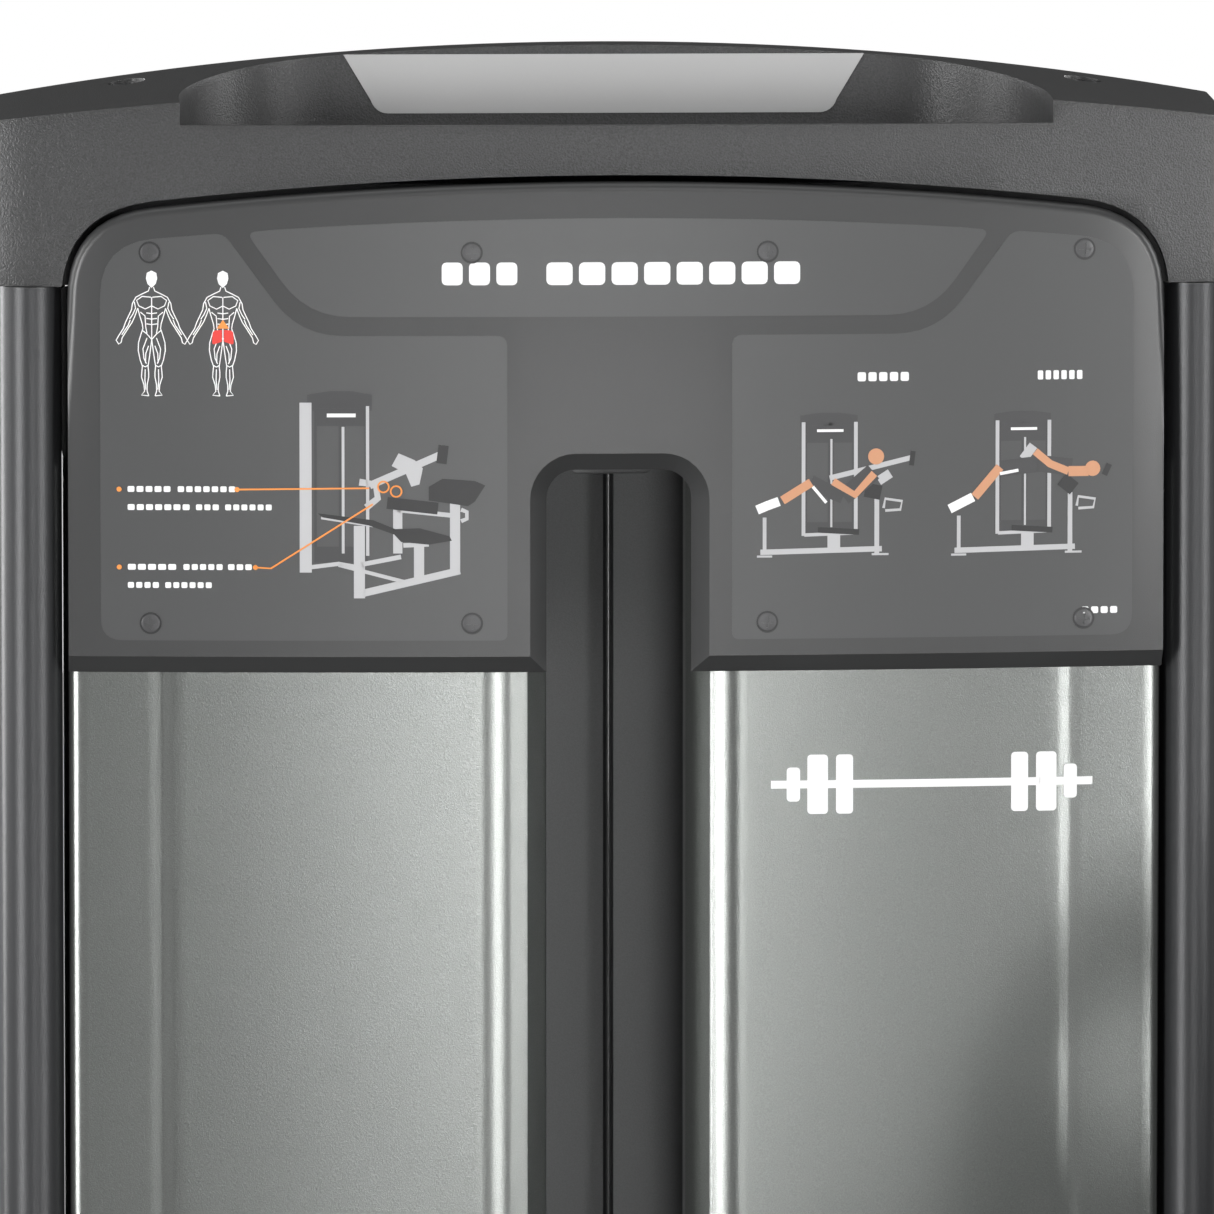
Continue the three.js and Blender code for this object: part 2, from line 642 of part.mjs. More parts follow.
addPulley('top_inner', pulleyAt.top_inner, [0, 0, 0]);
addPulley('top_outer', pulleyAt.top_outer, [0, 0, 0]);
addPulley('base_corner', pulleyAt.base_corner, [0, 0, Math.PI / 2]);
addPulley('turning', pulleyAt.turning, [Math.PI / 2, 0, 0]);
addPulley('riser', pulleyAt.riser, [0, 0, 0]);
add('top_inner_bracket', topBracket(pulleyAt.top_inner), 'charcoal');
add('top_outer_bracket', topBracket(pulleyAt.top_outer), 'charcoal');
add('base_corner_bracket', cornerBracket(pulleyAt.base_corner), 'charcoal');
add('turning_bracket', turningBracket(pulleyAt.turning), 'charcoal');
add('riser_bracket', riserBracket(pulleyAt.riser), 'charcoal');

// ---- cable ----

// A route through chosen points, straight between them, with one section at each point.
class Route extends THREE.Curve {
  constructor(points) {
    super();
    this.points = points;
  }

  getPoint(t, target = new THREE.Vector3()) {
    const at = Math.round(t * (this.points.length - 1));
    return target.copy(this.points[at]);
  }

  getPointAt(u, target) {
    return this.getPoint(u, target);
  }

  getTangentAt(u, target = new THREE.Vector3()) {
    const last = this.points.length - 1;
    const at = Math.round(u * last);
    const before = this.points[Math.max(at - 1, 0)];
    const after = this.points[Math.min(at + 1, last)];
    return target.subVectors(after, before).normalize();
  }
}

// A quarter turn around a pulley, from one direction off its centre to another.
function quarter(centre, from, to) {
  const steps = 6;
  return Array.from({ length: steps + 1 }, (_, i) => {
    const angle = (Math.PI / 2) * (i / steps);
    return new THREE.Vector3(...centre)
      .addScaledVector(from, PULLEY_PITCH_RADIUS * Math.cos(angle))
      .addScaledVector(to, PULLEY_PITCH_RADIUS * Math.sin(angle));
  });
}

function cable(points) {
  const section = new THREE.Shape().absarc(0, 0, CABLE_RADIUS, 0, Math.PI * 2);
  const options = { steps: points.length - 1, extrudePath: new Route(points), curveSegments: 8 };
  return new THREE.ExtrudeGeometry(section, options);
}

const toX = new THREE.Vector3(1, 0, 0);
const toY = new THREE.Vector3(0, 1, 0);
const toZ = new THREE.Vector3(0, 0, 1);
const liftTop = TOP_BEAM_BOTTOM - 20;
const liftBottom = stackTop + SOCKET_HEIGHT + GAP;

add('lift_cable', roundZ(CABLE_RADIUS, liftBottom, liftTop, 0, midDepth, 8), 'cable');
add('long_cable', cable([
  new THREE.Vector3(0, midDepth, liftTop + GAP),
  ...quarter(pulleyAt.top_inner, toX.clone().negate(), toZ),
  ...quarter(pulleyAt.top_outer, toZ, toX),
  ...quarter(pulleyAt.base_corner, toY, toZ.clone().negate()),
  ...quarter(pulleyAt.turning, toX.clone().negate(), toY.clone().negate()),
  ...quarter(pulleyAt.riser, toZ.clone().negate(), toX),
  new THREE.Vector3(RISER_X, cableY, PIVOT_Z),
]), 'cable');

// ---- bench frame ----

const railY0 = MIDPLANE_Y - RAIL / 2;
const railY1 = MIDPLANE_Y + RAIL / 2;

function squareSection(a0, a1, b0, b1) {
  return tubeSection(rectangle, a0, a1, b0, b1, TUBE_WALL);
}

function mainRail() {
  const bar = extrudeX(squareSection(railY0, railY1, railBottom, railTop), MAIN_RAIL_FROM, MAIN_RAIL_TO);
  const inset = FOOT_RADIUS + 4;
  const feet = [MAIN_RAIL_FROM + inset, MAIN_RAIL_TO - inset].map((x) => foot(x, MIDPLANE_Y));
  return join(bar, ...feet);
}

function rearRail() {
  const section = squareSection(PIVOT_Y - POST_WIDTH / 2, railSide, railBottom, railTop);
  const end = PIVOT_X + RAIL;
  const bar = extrudeX(section, SPINE_X + RAIL / 2 + GAP, end);
  return join(bar, foot(end - FOOT_RADIUS, PIVOT_Y, POST_WIDTH / 2 - 1));
}

// Z of the foot plate's underside at a distance along X.
function footPlateUnder(x) {
  const tilt = rad(FOOT_PLATE.tilt);
  const half = FOOT_PLATE.thickness / 2;
  return FOOT_PLATE.z - (x - FOOT_PLATE.x) * Math.tan(tilt) - half / Math.cos(tilt);
}

function footPost() {
  const x0 = FOOT_POST_X - RAIL / 2;
  const x1 = FOOT_POST_X + RAIL / 2;
  const z0 = railTop + GAP;
  const clearance = 2 * GAP;
  const side = polygon([
    [x0, z0], [x1, z0], [x1, footPlateUnder(x1) - clearance], [x0, footPlateUnder(x0) - clearance],
  ]);
  const hollow = box(
    x0 + TUBE_WALL, x1 - TUBE_WALL, railY0 + TUBE_WALL, railY1 - TUBE_WALL,
    z0 - 1, footPlateUnder(x1) - 2 * TUBE_WALL,
  );
  const gusset = polygon([[x1 - 1, z0], [x1 + 70, z0], [x1 + 70, z0 + 8], [x1 - 1, z0 + 90]]);
  const web = extrudeY(gusset, MIDPLANE_Y - 4, MIDPLANE_Y + 4);
  return join(cut(extrudeY(side, railY0, railY1), hollow), web);
}

function seatPost() {
  const x0 = SEAT_POST_X - RAIL / 2;
  const top = SEAT_PLATE_TOP - 8;
  const tube = extrudeZ(squareSection(x0, x0 + RAIL, railY0, railY1), railTop + GAP, top + 1);
  const plateHalf = SEAT_PAD.width / 2 - 40;
  const board = box(
    SEAT_POST_X - 110, SEAT_POST_X + 190, MIDPLANE_Y - plateHalf, MIDPLANE_Y + plateHalf,
    top, SEAT_PLATE_TOP,
  );
  return join(tube, board);
}

function headPost() {
  const x0 = PIVOT_X - RAIL / 2;
  const tube = extrudeZ(squareSection(x0, x0 + RAIL, railY0, railY1), railTop + GAP, HEAD_POST_TOP);
  return cut(tube, roundY(SCREW_RADIUS + RUN, railY0 - 1, railY0 + RAIL / 4, PIVOT_X, BACK_KNOB_Z));
}

function pivotPost() {
  const section = squareSection(
    PIVOT_X - RAIL / 2, PIVOT_X + RAIL / 2, PIVOT_Y - POST_WIDTH / 2, railSide,
  );
  const tube = extrudeZ(section, railTop + GAP, PIVOT_Z + POST_TOP_ABOVE_PIVOT);
  return cut(tube, roundY(
    SHAFT_RADIUS + RUN, PIVOT_Y - POST_WIDTH, PIVOT_Y + POST_WIDTH, PIVOT_X, PIVOT_Z, 24,
  ));
}

// A level tube from the right upright's front to the pivot post, cut square to both.
function towerBrace() {
  const from = halfWidth - UPRIGHT_WIDTH / 2;
  const y1 = -GAP;
  const y0 = railSide + GAP;
  const slant = (half, extra) => {
    const run = (PIVOT_X - from) / (y1 - y0);
    return polygon([
      [from - half - run * extra, y1 + extra], [from + half - run * extra, y1 + extra],
      [PIVOT_X + half + run * extra, y0 - extra], [PIVOT_X - half + run * extra, y0 - extra],
    ]);
  };
  const half = RAIL / 2 - 3;
  const bore = extrudeZ(
    slant(half - TUBE_WALL * 1.3, 2), BRACE_Z + TUBE_WALL, BRACE_Z + BRACE_HEIGHT - TUBE_WALL,
  );
  return cut(extrudeZ(slant(half, 0), BRACE_Z, BRACE_Z + BRACE_HEIGHT), bore);
}

function accessoryTray() {
  const x0 = PIVOT_X + RAIL / 2 + GAP;
  const y0 = MIDPLANE_Y - TRAY.width / 2;
  const top = TRAY.bottom + TRAY.height;
  const outside = roundedRectangle(x0, x0 + TRAY.length, y0, y0 + TRAY.width, 24);
  const inside = roundedRectangle(
    x0 + TRAY.wall, x0 + TRAY.length - TRAY.wall,
    y0 + TRAY.wall, y0 + TRAY.width - TRAY.wall, 24 - TRAY.wall,
  );
  return cut(
    extrudeZ(outside, TRAY.bottom, top, 4),
    extrudeZ(inside, TRAY.bottom + TRAY.wall, top + 1, 4),
  );
}

const spineX0 = SPINE_X - RAIL / 2;
add('spine_beam', extrudeY(
  squareSection(spineX0, spineX0 + RAIL, railBottom, railTop), railY1 + GAP, -GAP,
), 'charcoal');
add('main_rail', mainRail(), 'charcoal');
add('rear_rail', rearRail(), 'charcoal');
add('foot_post', footPost(), 'charcoal');
add('seat_post', seatPost(), 'charcoal');
add('head_post', headPost(), 'charcoal');
add('pivot_post', pivotPost(), 'charcoal');
add('crossbar', extrudeY(
  squareSection(
    PIVOT_X - CROSSBAR_WIDTH / 2, PIVOT_X + CROSSBAR_WIDTH / 2,
    CROSSBAR_Z, CROSSBAR_Z + CROSSBAR_HEIGHT,
  ),
  railY1 + GAP, PIVOT_Y - POST_WIDTH / 2 - GAP,
), 'charcoal');
add('tower_brace', towerBrace(), 'charcoal');
add('accessory_tray', accessoryTray(), 'pulley');

const footPlate = add('foot_plate', box(
  -FOOT_PLATE.length / 2, FOOT_PLATE.length / 2, -FOOT_PLATE.width / 2, FOOT_PLATE.width / 2,
  -FOOT_PLATE.thickness / 2, FOOT_PLATE.thickness / 2,
), 'rubber');
footPlate.position.set(FOOT_PLATE.x, MIDPLANE_Y, FOOT_PLATE.z);
footPlate.rotation.y = rad(FOOT_PLATE.tilt);

// ---- seat and back pads ----

const seatPadOutline = roundedRectangle(
  SEAT_PAD.from, SEAT_PAD.to,
  MIDPLANE_Y - SEAT_PAD.width / 2, MIDPLANE_Y + SEAT_PAD.width / 2, SEAT_PAD.corner,
);
const seatPadBottom = SEAT_PLATE_TOP + GAP;
add('seat_pad', extrudeZ(
  seatPadOutline, seatPadBottom, seatPadBottom + SEAT_PAD.thickness, 4,
), 'upholstery');

const boardBottom = HEAD_POST_TOP + BACK_BOARD_LIFT;
const boardTop = boardBottom + BACK_BOARD;

function backStem() {
  const half = STEM / 2;
  const section = squareSection(
    PIVOT_X - half, PIVOT_X + half, MIDPLANE_Y - half, MIDPLANE_Y + half,
  );
  const board = box(
    BACK_PAD.from + 30, BACK_PAD.to - 30,
    MIDPLANE_Y - BACK_PAD.width / 2 + 50, MIDPLANE_Y + BACK_PAD.width / 2 - 50,
    boardBottom, boardTop,
  );
  return join(extrudeZ(section, STEM_BOTTOM, boardBottom + 1), board);
}

// A bolster: a rounded wedge in side view, steep on the side that the back leans on.
function backPad() {
  const z0 = boardTop + GAP;
  const z1 = z0 + BACK_PAD.height;
  const { from, to } = BACK_PAD;
  const shape = new THREE.Shape();
  shape.moveTo(from + 30, z0);
  shape.lineTo(to - 40, z0);
  shape.quadraticCurveTo(to, z0, to - 4, z0 + 46);
  shape.lineTo(to - 40, z1 - 60);
  shape.quadraticCurveTo(to - 62, z1, to - 120, z1);
  shape.quadraticCurveTo(from + 22, z1, from + 8, z1 - 100);
  shape.lineTo(from, z0 + 40);
  shape.quadraticCurveTo(from, z0, from + 30, z0);
  const y0 = MIDPLANE_Y - BACK_PAD.width / 2;
  return extrudeY(shape, y0, y0 + BACK_PAD.width, 6);
}

// A knob on a screw along Y: the knob is on the -Y side, from `face` outwards.
function clampKnob(face, tip, screwRadius, x = 0, z = 0) {
  const knob = roundY(KNOB_RADIUS, face - KNOB_LENGTH, face, x, z, 12);
  return join(knob, roundY(screwRadius, face - 2, tip, x, z));
}

const stemFace = MIDPLANE_Y - STEM / 2;
add('back_stem', backStem(), 'charcoal');
add('back_pad', backPad(), 'upholstery');
add('back_knob', clampKnob(
  railY0 - 6, stemFace - 2 * GAP, SCREW_RADIUS, PIVOT_X, BACK_KNOB_Z,
), 'orange');

// ---- cam, shaft and index plate: they turn together about the pivot ----

const pivot = new THREE.Group();
pivot.position.set(PIVOT_X, PIVOT_Y, PIVOT_Z);
model.add(pivot);

const camY = cableY - PIVOT_Y;
const postFace = POST_WIDTH / 2;
const indexNear = -postFace - CAM_FROM_POST;
const indexFar = indexNear - INDEX_THICKNESS;
const armNear = indexFar - ARM_GAP;
const armFar = armNear - ARM_WIDTH;
const CAM_FROM_ANGLE = 55;
const CAM_TO_ANGLE = 225;

function wedge(fromAngle, toAngle, radius, y0, y1) {
  const shape = new THREE.Shape();
  shape.moveTo(0, 0);
  shape.absarc(0, 0, radius, rad(fromAngle), rad(toAngle));
  return extrudeY(shape, y0, y1, 12);
}

function cam() {
  const side = CAM_THICKNESS / 2;
  const wheel = grooved(CAM_PITCH_RADIUS, CAM_THICKNESS, SHAFT_RADIUS + GAP, 64);
  const sector = wedge(CAM_FROM_ANGLE, CAM_TO_ANGLE, CAM_PITCH_RADIUS * 1.2, -side, side);
  const hub = roundY(SHAFT_RADIUS * 3, -side, side, 0, 0, 24);
  const bore = roundY(SHAFT_RADIUS + GAP, -side - 1, side + 1, 0, 0, 24);
  const windows = [95, 140, 185].map((middle) => {
    const opening = new THREE.Shape();
    opening.absarc(0, 0, CAM_PITCH_RADIUS * 0.82, rad(middle - 17), rad(middle + 17));
    opening.absarc(0, 0, CAM_PITCH_RADIUS * 0.36, rad(middle + 14), rad(middle - 14), true);
    return extrudeY(opening, -side - 1, side + 1, 4);
  });
  return cut(join(common(wheel, sector), hub), bore, ...windows).translate(0, camY, 0);
}

// A plate with the arc slot that the clamp screw on the arm runs in.
function indexPlate() {
  const first = 180 + ARM_SLOPE;
  const last = first - START_RANGE;
  const shape = new THREE.Shape();
  shape.moveTo(SHAFT_RADIUS * 2, SHAFT_RADIUS * 2);
  shape.absarc(0, 0, INDEX_RADIUS, rad(last - 14), rad(first + 14));
  shape.lineTo(SHAFT_RADIUS * 2, -SHAFT_RADIUS * 2);
  const half = SCREW_RADIUS + RUN;
  const slot = new THREE.Shape();
  slot.absarc(0, 0, INDEX_SLOT_RADIUS + half, rad(last - 4), rad(first + 4));
  slot.absarc(0, 0, INDEX_SLOT_RADIUS - half, rad(first + 4), rad(last - 4), true);
  return cut(
    extrudeY(shape, indexFar, indexNear, 10),
    extrudeY(slot, indexFar - 1, indexNear + 1, 8),
    roundY(SHAFT_RADIUS + GAP, indexFar - 1, indexNear + 1, 0, 0, 24),
  );
}

function pivotShaft() {
  const bar = roundY(SHAFT_RADIUS, armFar - 2, camY + CAM_THICKNESS / 2 + 2, 0, 0, 24);
  const capNear = roundY(SHAFT_RADIUS + 9, armFar - 9, armFar - 1, 0, 0, 24);
  const top = camY + CAM_THICKNESS / 2;
  return join(bar, capNear, roundY(SHAFT_RADIUS + 9, top + 1, top + 9, 0, 0, 24));
}

// The cable's end, which lies in the cam's groove from the riser to its anchor.
function camCable() {
  const from = 179;
  const wrapped = 88;
  const steps = 16;
  const points = Array.from({ length: steps + 1 }, (_, i) => {
    const angle = rad(from - (i / steps) * wrapped);
    return new THREE.Vector3(
      CAM_PITCH_RADIUS * Math.cos(angle), camY, CAM_PITCH_RADIUS * Math.sin(angle),
    );
  });
  return cable(points);
}

add('cam', cam(), 'charcoal', pivot);
add('cam_cable', camCable(), 'cable', pivot);
add('index_plate', indexPlate(), 'charcoal', pivot);
add('pivot_shaft', pivotShaft(), 'chrome', pivot);

// ---- press arm, counterweight and clamp knob: tilted about the pivot ----

const arm = new THREE.Group();
arm.rotation.y = rad(-ARM_SLOPE);
pivot.add(arm);

function pressArm() {
  const half = ARM_HEIGHT / 2;
  const tube = extrudeX(
    squareSection(armFar, armNear, -half, half), -ARM_LENGTH - half, ARM_TAIL,
  );
  const along = (radius, x, sides) => roundY(radius + RUN, armFar - 1, armNear + 1, x, 0, sides);
  return cut(
    tube,
    along(SHAFT_RADIUS, 0, 24),
    along(SCREW_RADIUS, -INDEX_SLOT_RADIUS, 16),
    along(HINGE_SCREW_RADIUS, -ARM_LENGTH, 16),
  );
}

const armMid = (armNear + armFar) / 2;
add('press_arm', pressArm(), 'charcoal', arm);
add('counterweight', box(
  ARM_TAIL + GAP, ARM_TAIL + COUNTERWEIGHT.length,
  armMid - COUNTERWEIGHT.width / 2, armMid + COUNTERWEIGHT.width / 2,
  -COUNTERWEIGHT.height / 2, COUNTERWEIGHT.height / 2,
), 'weight', arm);
add('start_knob', clampKnob(
  armFar - 2, indexNear + 2, SCREW_RADIUS, -INDEX_SLOT_RADIUS, 0,
), 'orange', arm);

// ---- folding roller: upright at rest, hinged on the arm's end ----

const roller = new THREE.Group();
roller.position.set(-ARM_LENGTH, 0, 0);
roller.rotation.y = rad(ARM_SLOPE);
arm.add(roller);

const linkNear = armFar - 2;
const linkFar = linkNear - LINK_THICKNESS;
const rollerMid = MIDPLANE_Y - PIVOT_Y;
const rollerNear = rollerMid + ROLLER_WIDTH / 2;
const rollerFar = rollerMid - ROLLER_WIDTH / 2;
const handleNear = rollerNear + HANDLE_RADIUS + 14;
const handleFar = rollerFar - HANDLE_RADIUS - 14;

function rollerLink() {
  const half = LINK_WIDTH / 2;
  const shape = new THREE.Shape();
  shape.absarc(0, 0, half, 0, Math.PI);
  shape.absarc(0, -ROLLER_DROP, half, Math.PI, Math.PI * 2);
  const hole = roundY(HINGE_SCREW_RADIUS + RUN, linkFar - 1, linkNear + 1, 0, 0);
  return cut(extrudeY(shape, linkFar, linkNear, 8), hole);
}

// A handle or grip that leans from the roller's axis towards the feet.
function leaning(geometry, y) {
  return geometry.rotateY(rad(-HANDLE_LEAN)).translate(0, y, -ROLLER_DROP);
}

function rollerShaft() {
  const far = handleFar - ROLLER_SHAFT_RADIUS;
  const bar = roundY(ROLLER_SHAFT_RADIUS, far, linkFar - GAP, 0, -ROLLER_DROP);
  const handles = [handleNear, handleFar].map(
    (y) => leaning(roundZ(HANDLE_RADIUS, 0, HANDLE_LENGTH, 0, 0), y),
  );
  return join(bar, ...handles);
}

function rollerPad() {
  const bore = ROLLER_SHAFT_RADIUS + RUN;
  const half = ROLLER_WIDTH / 2;
  const round = 10;
  const profile = [
    [bore, -half], [ROLLER_RADIUS - round, -half], [ROLLER_RADIUS, -half + round],
    [ROLLER_RADIUS, half - round], [ROLLER_RADIUS - round, half], [bore, half], [bore, -half],
  ];
  const points = profile.map(([r, y]) => new THREE.Vector2(r, y));
  return new THREE.LatheGeometry(points, 24).translate(0, rollerMid, -ROLLER_DROP);
}

function grip(y) {
  const bore = HANDLE_RADIUS + GAP;
  const profile = [
    [bore, 0], [GRIP_RADIUS, 0], [GRIP_RADIUS, GRIP_LENGTH], [bore, GRIP_LENGTH], [bore, 0],
  ];
  const points = profile.map(([r, z]) => new THREE.Vector2(r, z));
  const sleeve = new THREE.LatheGeometry(points, 16).rotateX(Math.PI / 2);
  return leaning(sleeve.translate(0, 0, HANDLE_LENGTH - GRIP_LENGTH), y);
}

add('roller_link', rollerLink(), 'charcoal', roller);
add('roller_shaft', rollerShaft(), 'chrome', roller);
add('roller_pad', rollerPad(), 'upholstery', roller);
add('near_grip', grip(handleNear), 'rubber', roller);
add('far_grip', grip(handleFar), 'rubber', roller);
add('fold_knob', clampKnob(
  linkFar - GAP - 1, armNear + 2, HINGE_SCREW_RADIUS,
), 'orange', roller);

// ---- origin: on the floor, below the middle of the machine ----

model.updateMatrixWorld(true);
const bounds = new THREE.Box3().setFromObject(model, true);
const centre = bounds.getCenter(new THREE.Vector3());
model.position.set(-centre.x, -centre.y, -bounds.min.z);

export default model;
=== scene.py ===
import math

import bpy
from mathutils import Matrix, Vector


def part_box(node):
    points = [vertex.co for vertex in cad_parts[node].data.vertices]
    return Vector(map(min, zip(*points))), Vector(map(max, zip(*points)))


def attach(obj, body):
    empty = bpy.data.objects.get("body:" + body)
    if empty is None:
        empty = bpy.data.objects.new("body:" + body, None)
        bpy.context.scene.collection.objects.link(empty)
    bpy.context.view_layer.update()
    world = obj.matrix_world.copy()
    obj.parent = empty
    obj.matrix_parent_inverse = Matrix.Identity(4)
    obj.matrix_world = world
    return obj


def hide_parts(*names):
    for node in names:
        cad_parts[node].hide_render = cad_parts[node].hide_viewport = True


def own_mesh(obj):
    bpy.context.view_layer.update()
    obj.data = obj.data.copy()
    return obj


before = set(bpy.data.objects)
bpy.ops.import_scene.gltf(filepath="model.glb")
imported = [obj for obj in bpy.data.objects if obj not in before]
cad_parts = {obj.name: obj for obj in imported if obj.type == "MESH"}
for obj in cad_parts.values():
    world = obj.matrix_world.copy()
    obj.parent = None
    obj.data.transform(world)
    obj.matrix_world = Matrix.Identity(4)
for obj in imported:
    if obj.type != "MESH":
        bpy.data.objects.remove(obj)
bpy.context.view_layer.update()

# ---- Camera, floor and studio light ----
# The camera stands a little to the left of the tower and looks slightly down at its head.
# Two tall soft boxes stand in front at the sides, with small ones ahead and high up, a broad one
# overhead, and fills at both sides and behind for the views from the back.
cap_low, cap_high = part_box("head_cap")
tower_x = (cap_low.x + cap_high.x) / 2
half_width = (cap_high.x - cap_low.x) / 2
tower_depth = 0.150
front_y = cap_high.y - tower_depth
bow_depth = 0.026


def look(eye, aim):
    """The matrix of an object at `eye` whose -Z looks at `aim`."""
    turn = (aim - eye).to_track_quat("-Z", "Y").to_matrix().to_4x4()
    return Matrix.Translation(eye) @ turn


camera_data = bpy.data.cameras.new("camera")
camera_data.lens = 376.7
camera_data.sensor_width = 36.0
camera_data.clip_end = 60.0
camera = bpy.data.objects.new("camera", camera_data)
bpy.context.scene.collection.objects.link(camera)
view_aim = Vector((tower_x - 0.007, front_y - 0.024, 1.2026))
view_left = math.radians(3.7)
view_up = math.radians(5.0)
view_distance = 7.0
view_from = Vector(
    (
        -math.sin(view_left) * math.cos(view_up),
        -math.cos(view_left) * math.cos(view_up),
        math.sin(view_up),
    )
)
camera.matrix_world = look(view_aim + view_distance * view_from, view_aim)
bpy.context.scene.camera = camera
bpy.context.scene.view_settings.view_transform = "Standard"


tower_face = (tower_x, front_y, 1.1)
# Each soft box: where it stands, where it looks, its width and height, and its power in watts.
SOFT_BOXES = {
    "left_box": ((-3.5, -2.6, 1.35), tower_face, 0.9, 2.4, 150),
    "right_box": ((2.9, -3.4, 1.35), tower_face, 0.7, 2.4, 110),
    "front_box": ((0.1, -4.8, 1.0), (tower_x, front_y, 1.2), 0.9, 0.9, 46),
    "key_box": ((0.5, -3.6, 3.8), (tower_x, front_y, 1.0), 1.6, 1.2, 26),
    "top_box": ((0.0, 0.9, 4.2), (0.0, 0.2, 0.0), 3.5, 3.0, 46),
    "right_fill": ((4.2, 0.8, 2.2), (0.0, 0.0, 0.7), 2.0, 2.5, 90),
    "left_fill": ((-4.2, 0.8, 2.2), (0.0, 0.0, 0.7), 2.0, 2.5, 90),
    "back_right_box": ((3.8, 3.8, 1.5), (0.0, 0.4, 0.8), 2.0, 2.0, 110),
    "back_left_box": ((-3.8, 3.8, 1.5), (0.0, 0.4, 0.8), 2.0, 2.0, 110),
}
for name, (eye, aim, width, height, power) in SOFT_BOXES.items():
    light = bpy.data.lights.new(name, "AREA")
    light.shape = "RECTANGLE"
    light.size = width
    light.size_y = height
    light.energy = power
    lamp = bpy.data.objects.new(name, light)
    bpy.context.scene.collection.objects.link(lamp)
    lamp.matrix_world = look(Vector(eye), Vector(aim))

# The backdrop is white to the eye but lights the object gently.
world = bpy.data.worlds.new("studio")
world.use_nodes = True
world_nodes, world_links = world.node_tree.nodes, world.node_tree.links
backdrop = world_nodes["Background"]
backdrop.inputs["Color"].default_value = (1.0, 1.0, 1.0, 1.0)
seen = world_nodes.new("ShaderNodeLightPath")
strength = world_nodes.new("ShaderNodeMapRange")
strength.inputs["To Min"].default_value = 0.06
strength.inputs["To Max"].default_value = 1.0
world_links.new(seen.outputs["Is Camera Ray"], strength.inputs["Value"])
world_links.new(strength.outputs["Result"], backdrop.inputs["Strength"])
bpy.context.scene.world = world

bpy.ops.object.select_all(action="DESELECT")
bpy.ops.mesh.primitive_plane_add(size=26.0)
floor = bpy.context.object
floor.name = "studio_floor"
floor_paint = bpy.data.materials.new("studio_floor")
floor_paint.use_nodes = True
floor_nodes, floor_links = floor_paint.node_tree.nodes, floor_paint.node_tree.links
floor_seen = floor_nodes.new("ShaderNodeLightPath")
floor_tone = floor_nodes.new("ShaderNodeMix")
floor_tone.data_type = "RGBA"
floor_tone.inputs["A"].default_value = (0.14, 0.14, 0.14, 1.0)
floor_tone.inputs["B"].default_value = (0.35, 0.35, 0.35, 1.0)
floor_links.new(floor_seen.outputs["Is Camera Ray"], floor_tone.inputs["Factor"])
floor_links.new(
    floor_tone.outputs["Result"], floor_nodes["Principled BSDF"].inputs["Base Color"]
)
floor_glow = floor_nodes.new("ShaderNodeMapRange")
floor_glow.inputs["To Max"].default_value = 0.42
floor_links.new(floor_seen.outputs["Is Camera Ray"], floor_glow.inputs["Value"])
floor_nodes["Principled BSDF"].inputs["Emission Color"].default_value = (1.0, 1.0, 1.0, 1.0)
floor_links.new(
    floor_glow.outputs["Result"], floor_nodes["Principled BSDF"].inputs["Emission Strength"]
)
floor.data.materials.append(floor_paint)


# ---- Finishes ----
# Every finish has a fine grain and a slow mottle, from one node group: painted steel, moulded
# plastic and rubber differ in their colour, gloss, grain size and how deep the grain is.
def surface_group():
    group = bpy.data.node_groups.new("surface", "ShaderNodeTree")
    for name, kind in (
        ("Vector", "NodeSocketVector"),
        ("Color", "NodeSocketColor"),
        ("Grain scale", "NodeSocketFloat"),
        ("Grain", "NodeSocketFloat"),
        ("Mottle", "NodeSocketFloat"),
        ("Roughness", "NodeSocketFloat"),
    ):
        group.interface.new_socket(name, in_out="INPUT", socket_type=kind)
    for name, kind in (
        ("Color", "NodeSocketColor"),
        ("Roughness", "NodeSocketFloat"),
        ("Height", "NodeSocketFloat"),
    ):
        group.interface.new_socket(name, in_out="OUTPUT", socket_type=kind)
    nodes, links = group.nodes, group.links
    given = nodes.new("NodeGroupInput")
    result = nodes.new("NodeGroupOutput")
    fine = nodes.new("ShaderNodeTexNoise")
    fine.inputs["Detail"].default_value = 1.0
    slow = nodes.new("ShaderNodeTexNoise")
    slow.inputs["Scale"].default_value = 9.0
    slow.inputs["Detail"].default_value = 3.0
    links.new(given.outputs["Vector"], fine.inputs["Vector"])
    links.new(given.outputs["Grain scale"], fine.inputs["Scale"])
    links.new(given.outputs["Vector"], slow.inputs["Vector"])

    def calculate(operation, first, second):
        node = nodes.new("ShaderNodeMath")
        node.operation = operation
        for socket, value in zip(node.inputs, (first, second)):
            if isinstance(value, float):
                socket.default_value = value
            else:
                links.new(value, socket)
        return node.outputs[0]

    fine_swing = calculate("SUBTRACT", fine.outputs["Fac"], 0.5)
    slow_swing = calculate("SUBTRACT", slow.outputs["Fac"], 0.5)
    fine_part = calculate("MULTIPLY", fine_swing, given.outputs["Grain"])
    slow_part = calculate("MULTIPLY", slow_swing, given.outputs["Mottle"])
    swing = calculate("ADD", calculate("ADD", fine_part, slow_part), 1.0)
    tint = nodes.new("ShaderNodeVectorMath")
    tint.operation = "SCALE"
    links.new(given.outputs["Color"], tint.inputs[0])
    links.new(swing, tint.inputs["Scale"])
    links.new(tint.outputs[0], result.inputs["Color"])
    rough_swing = calculate("ADD", calculate("MULTIPLY", slow_part, 0.6), 1.0)
    links.new(
        calculate("MULTIPLY", given.outputs["Roughness"], rough_swing),
        result.inputs["Roughness"],
    )
    links.new(fine.outputs["Fac"], result.inputs["Height"])
    return group


surface = surface_group()


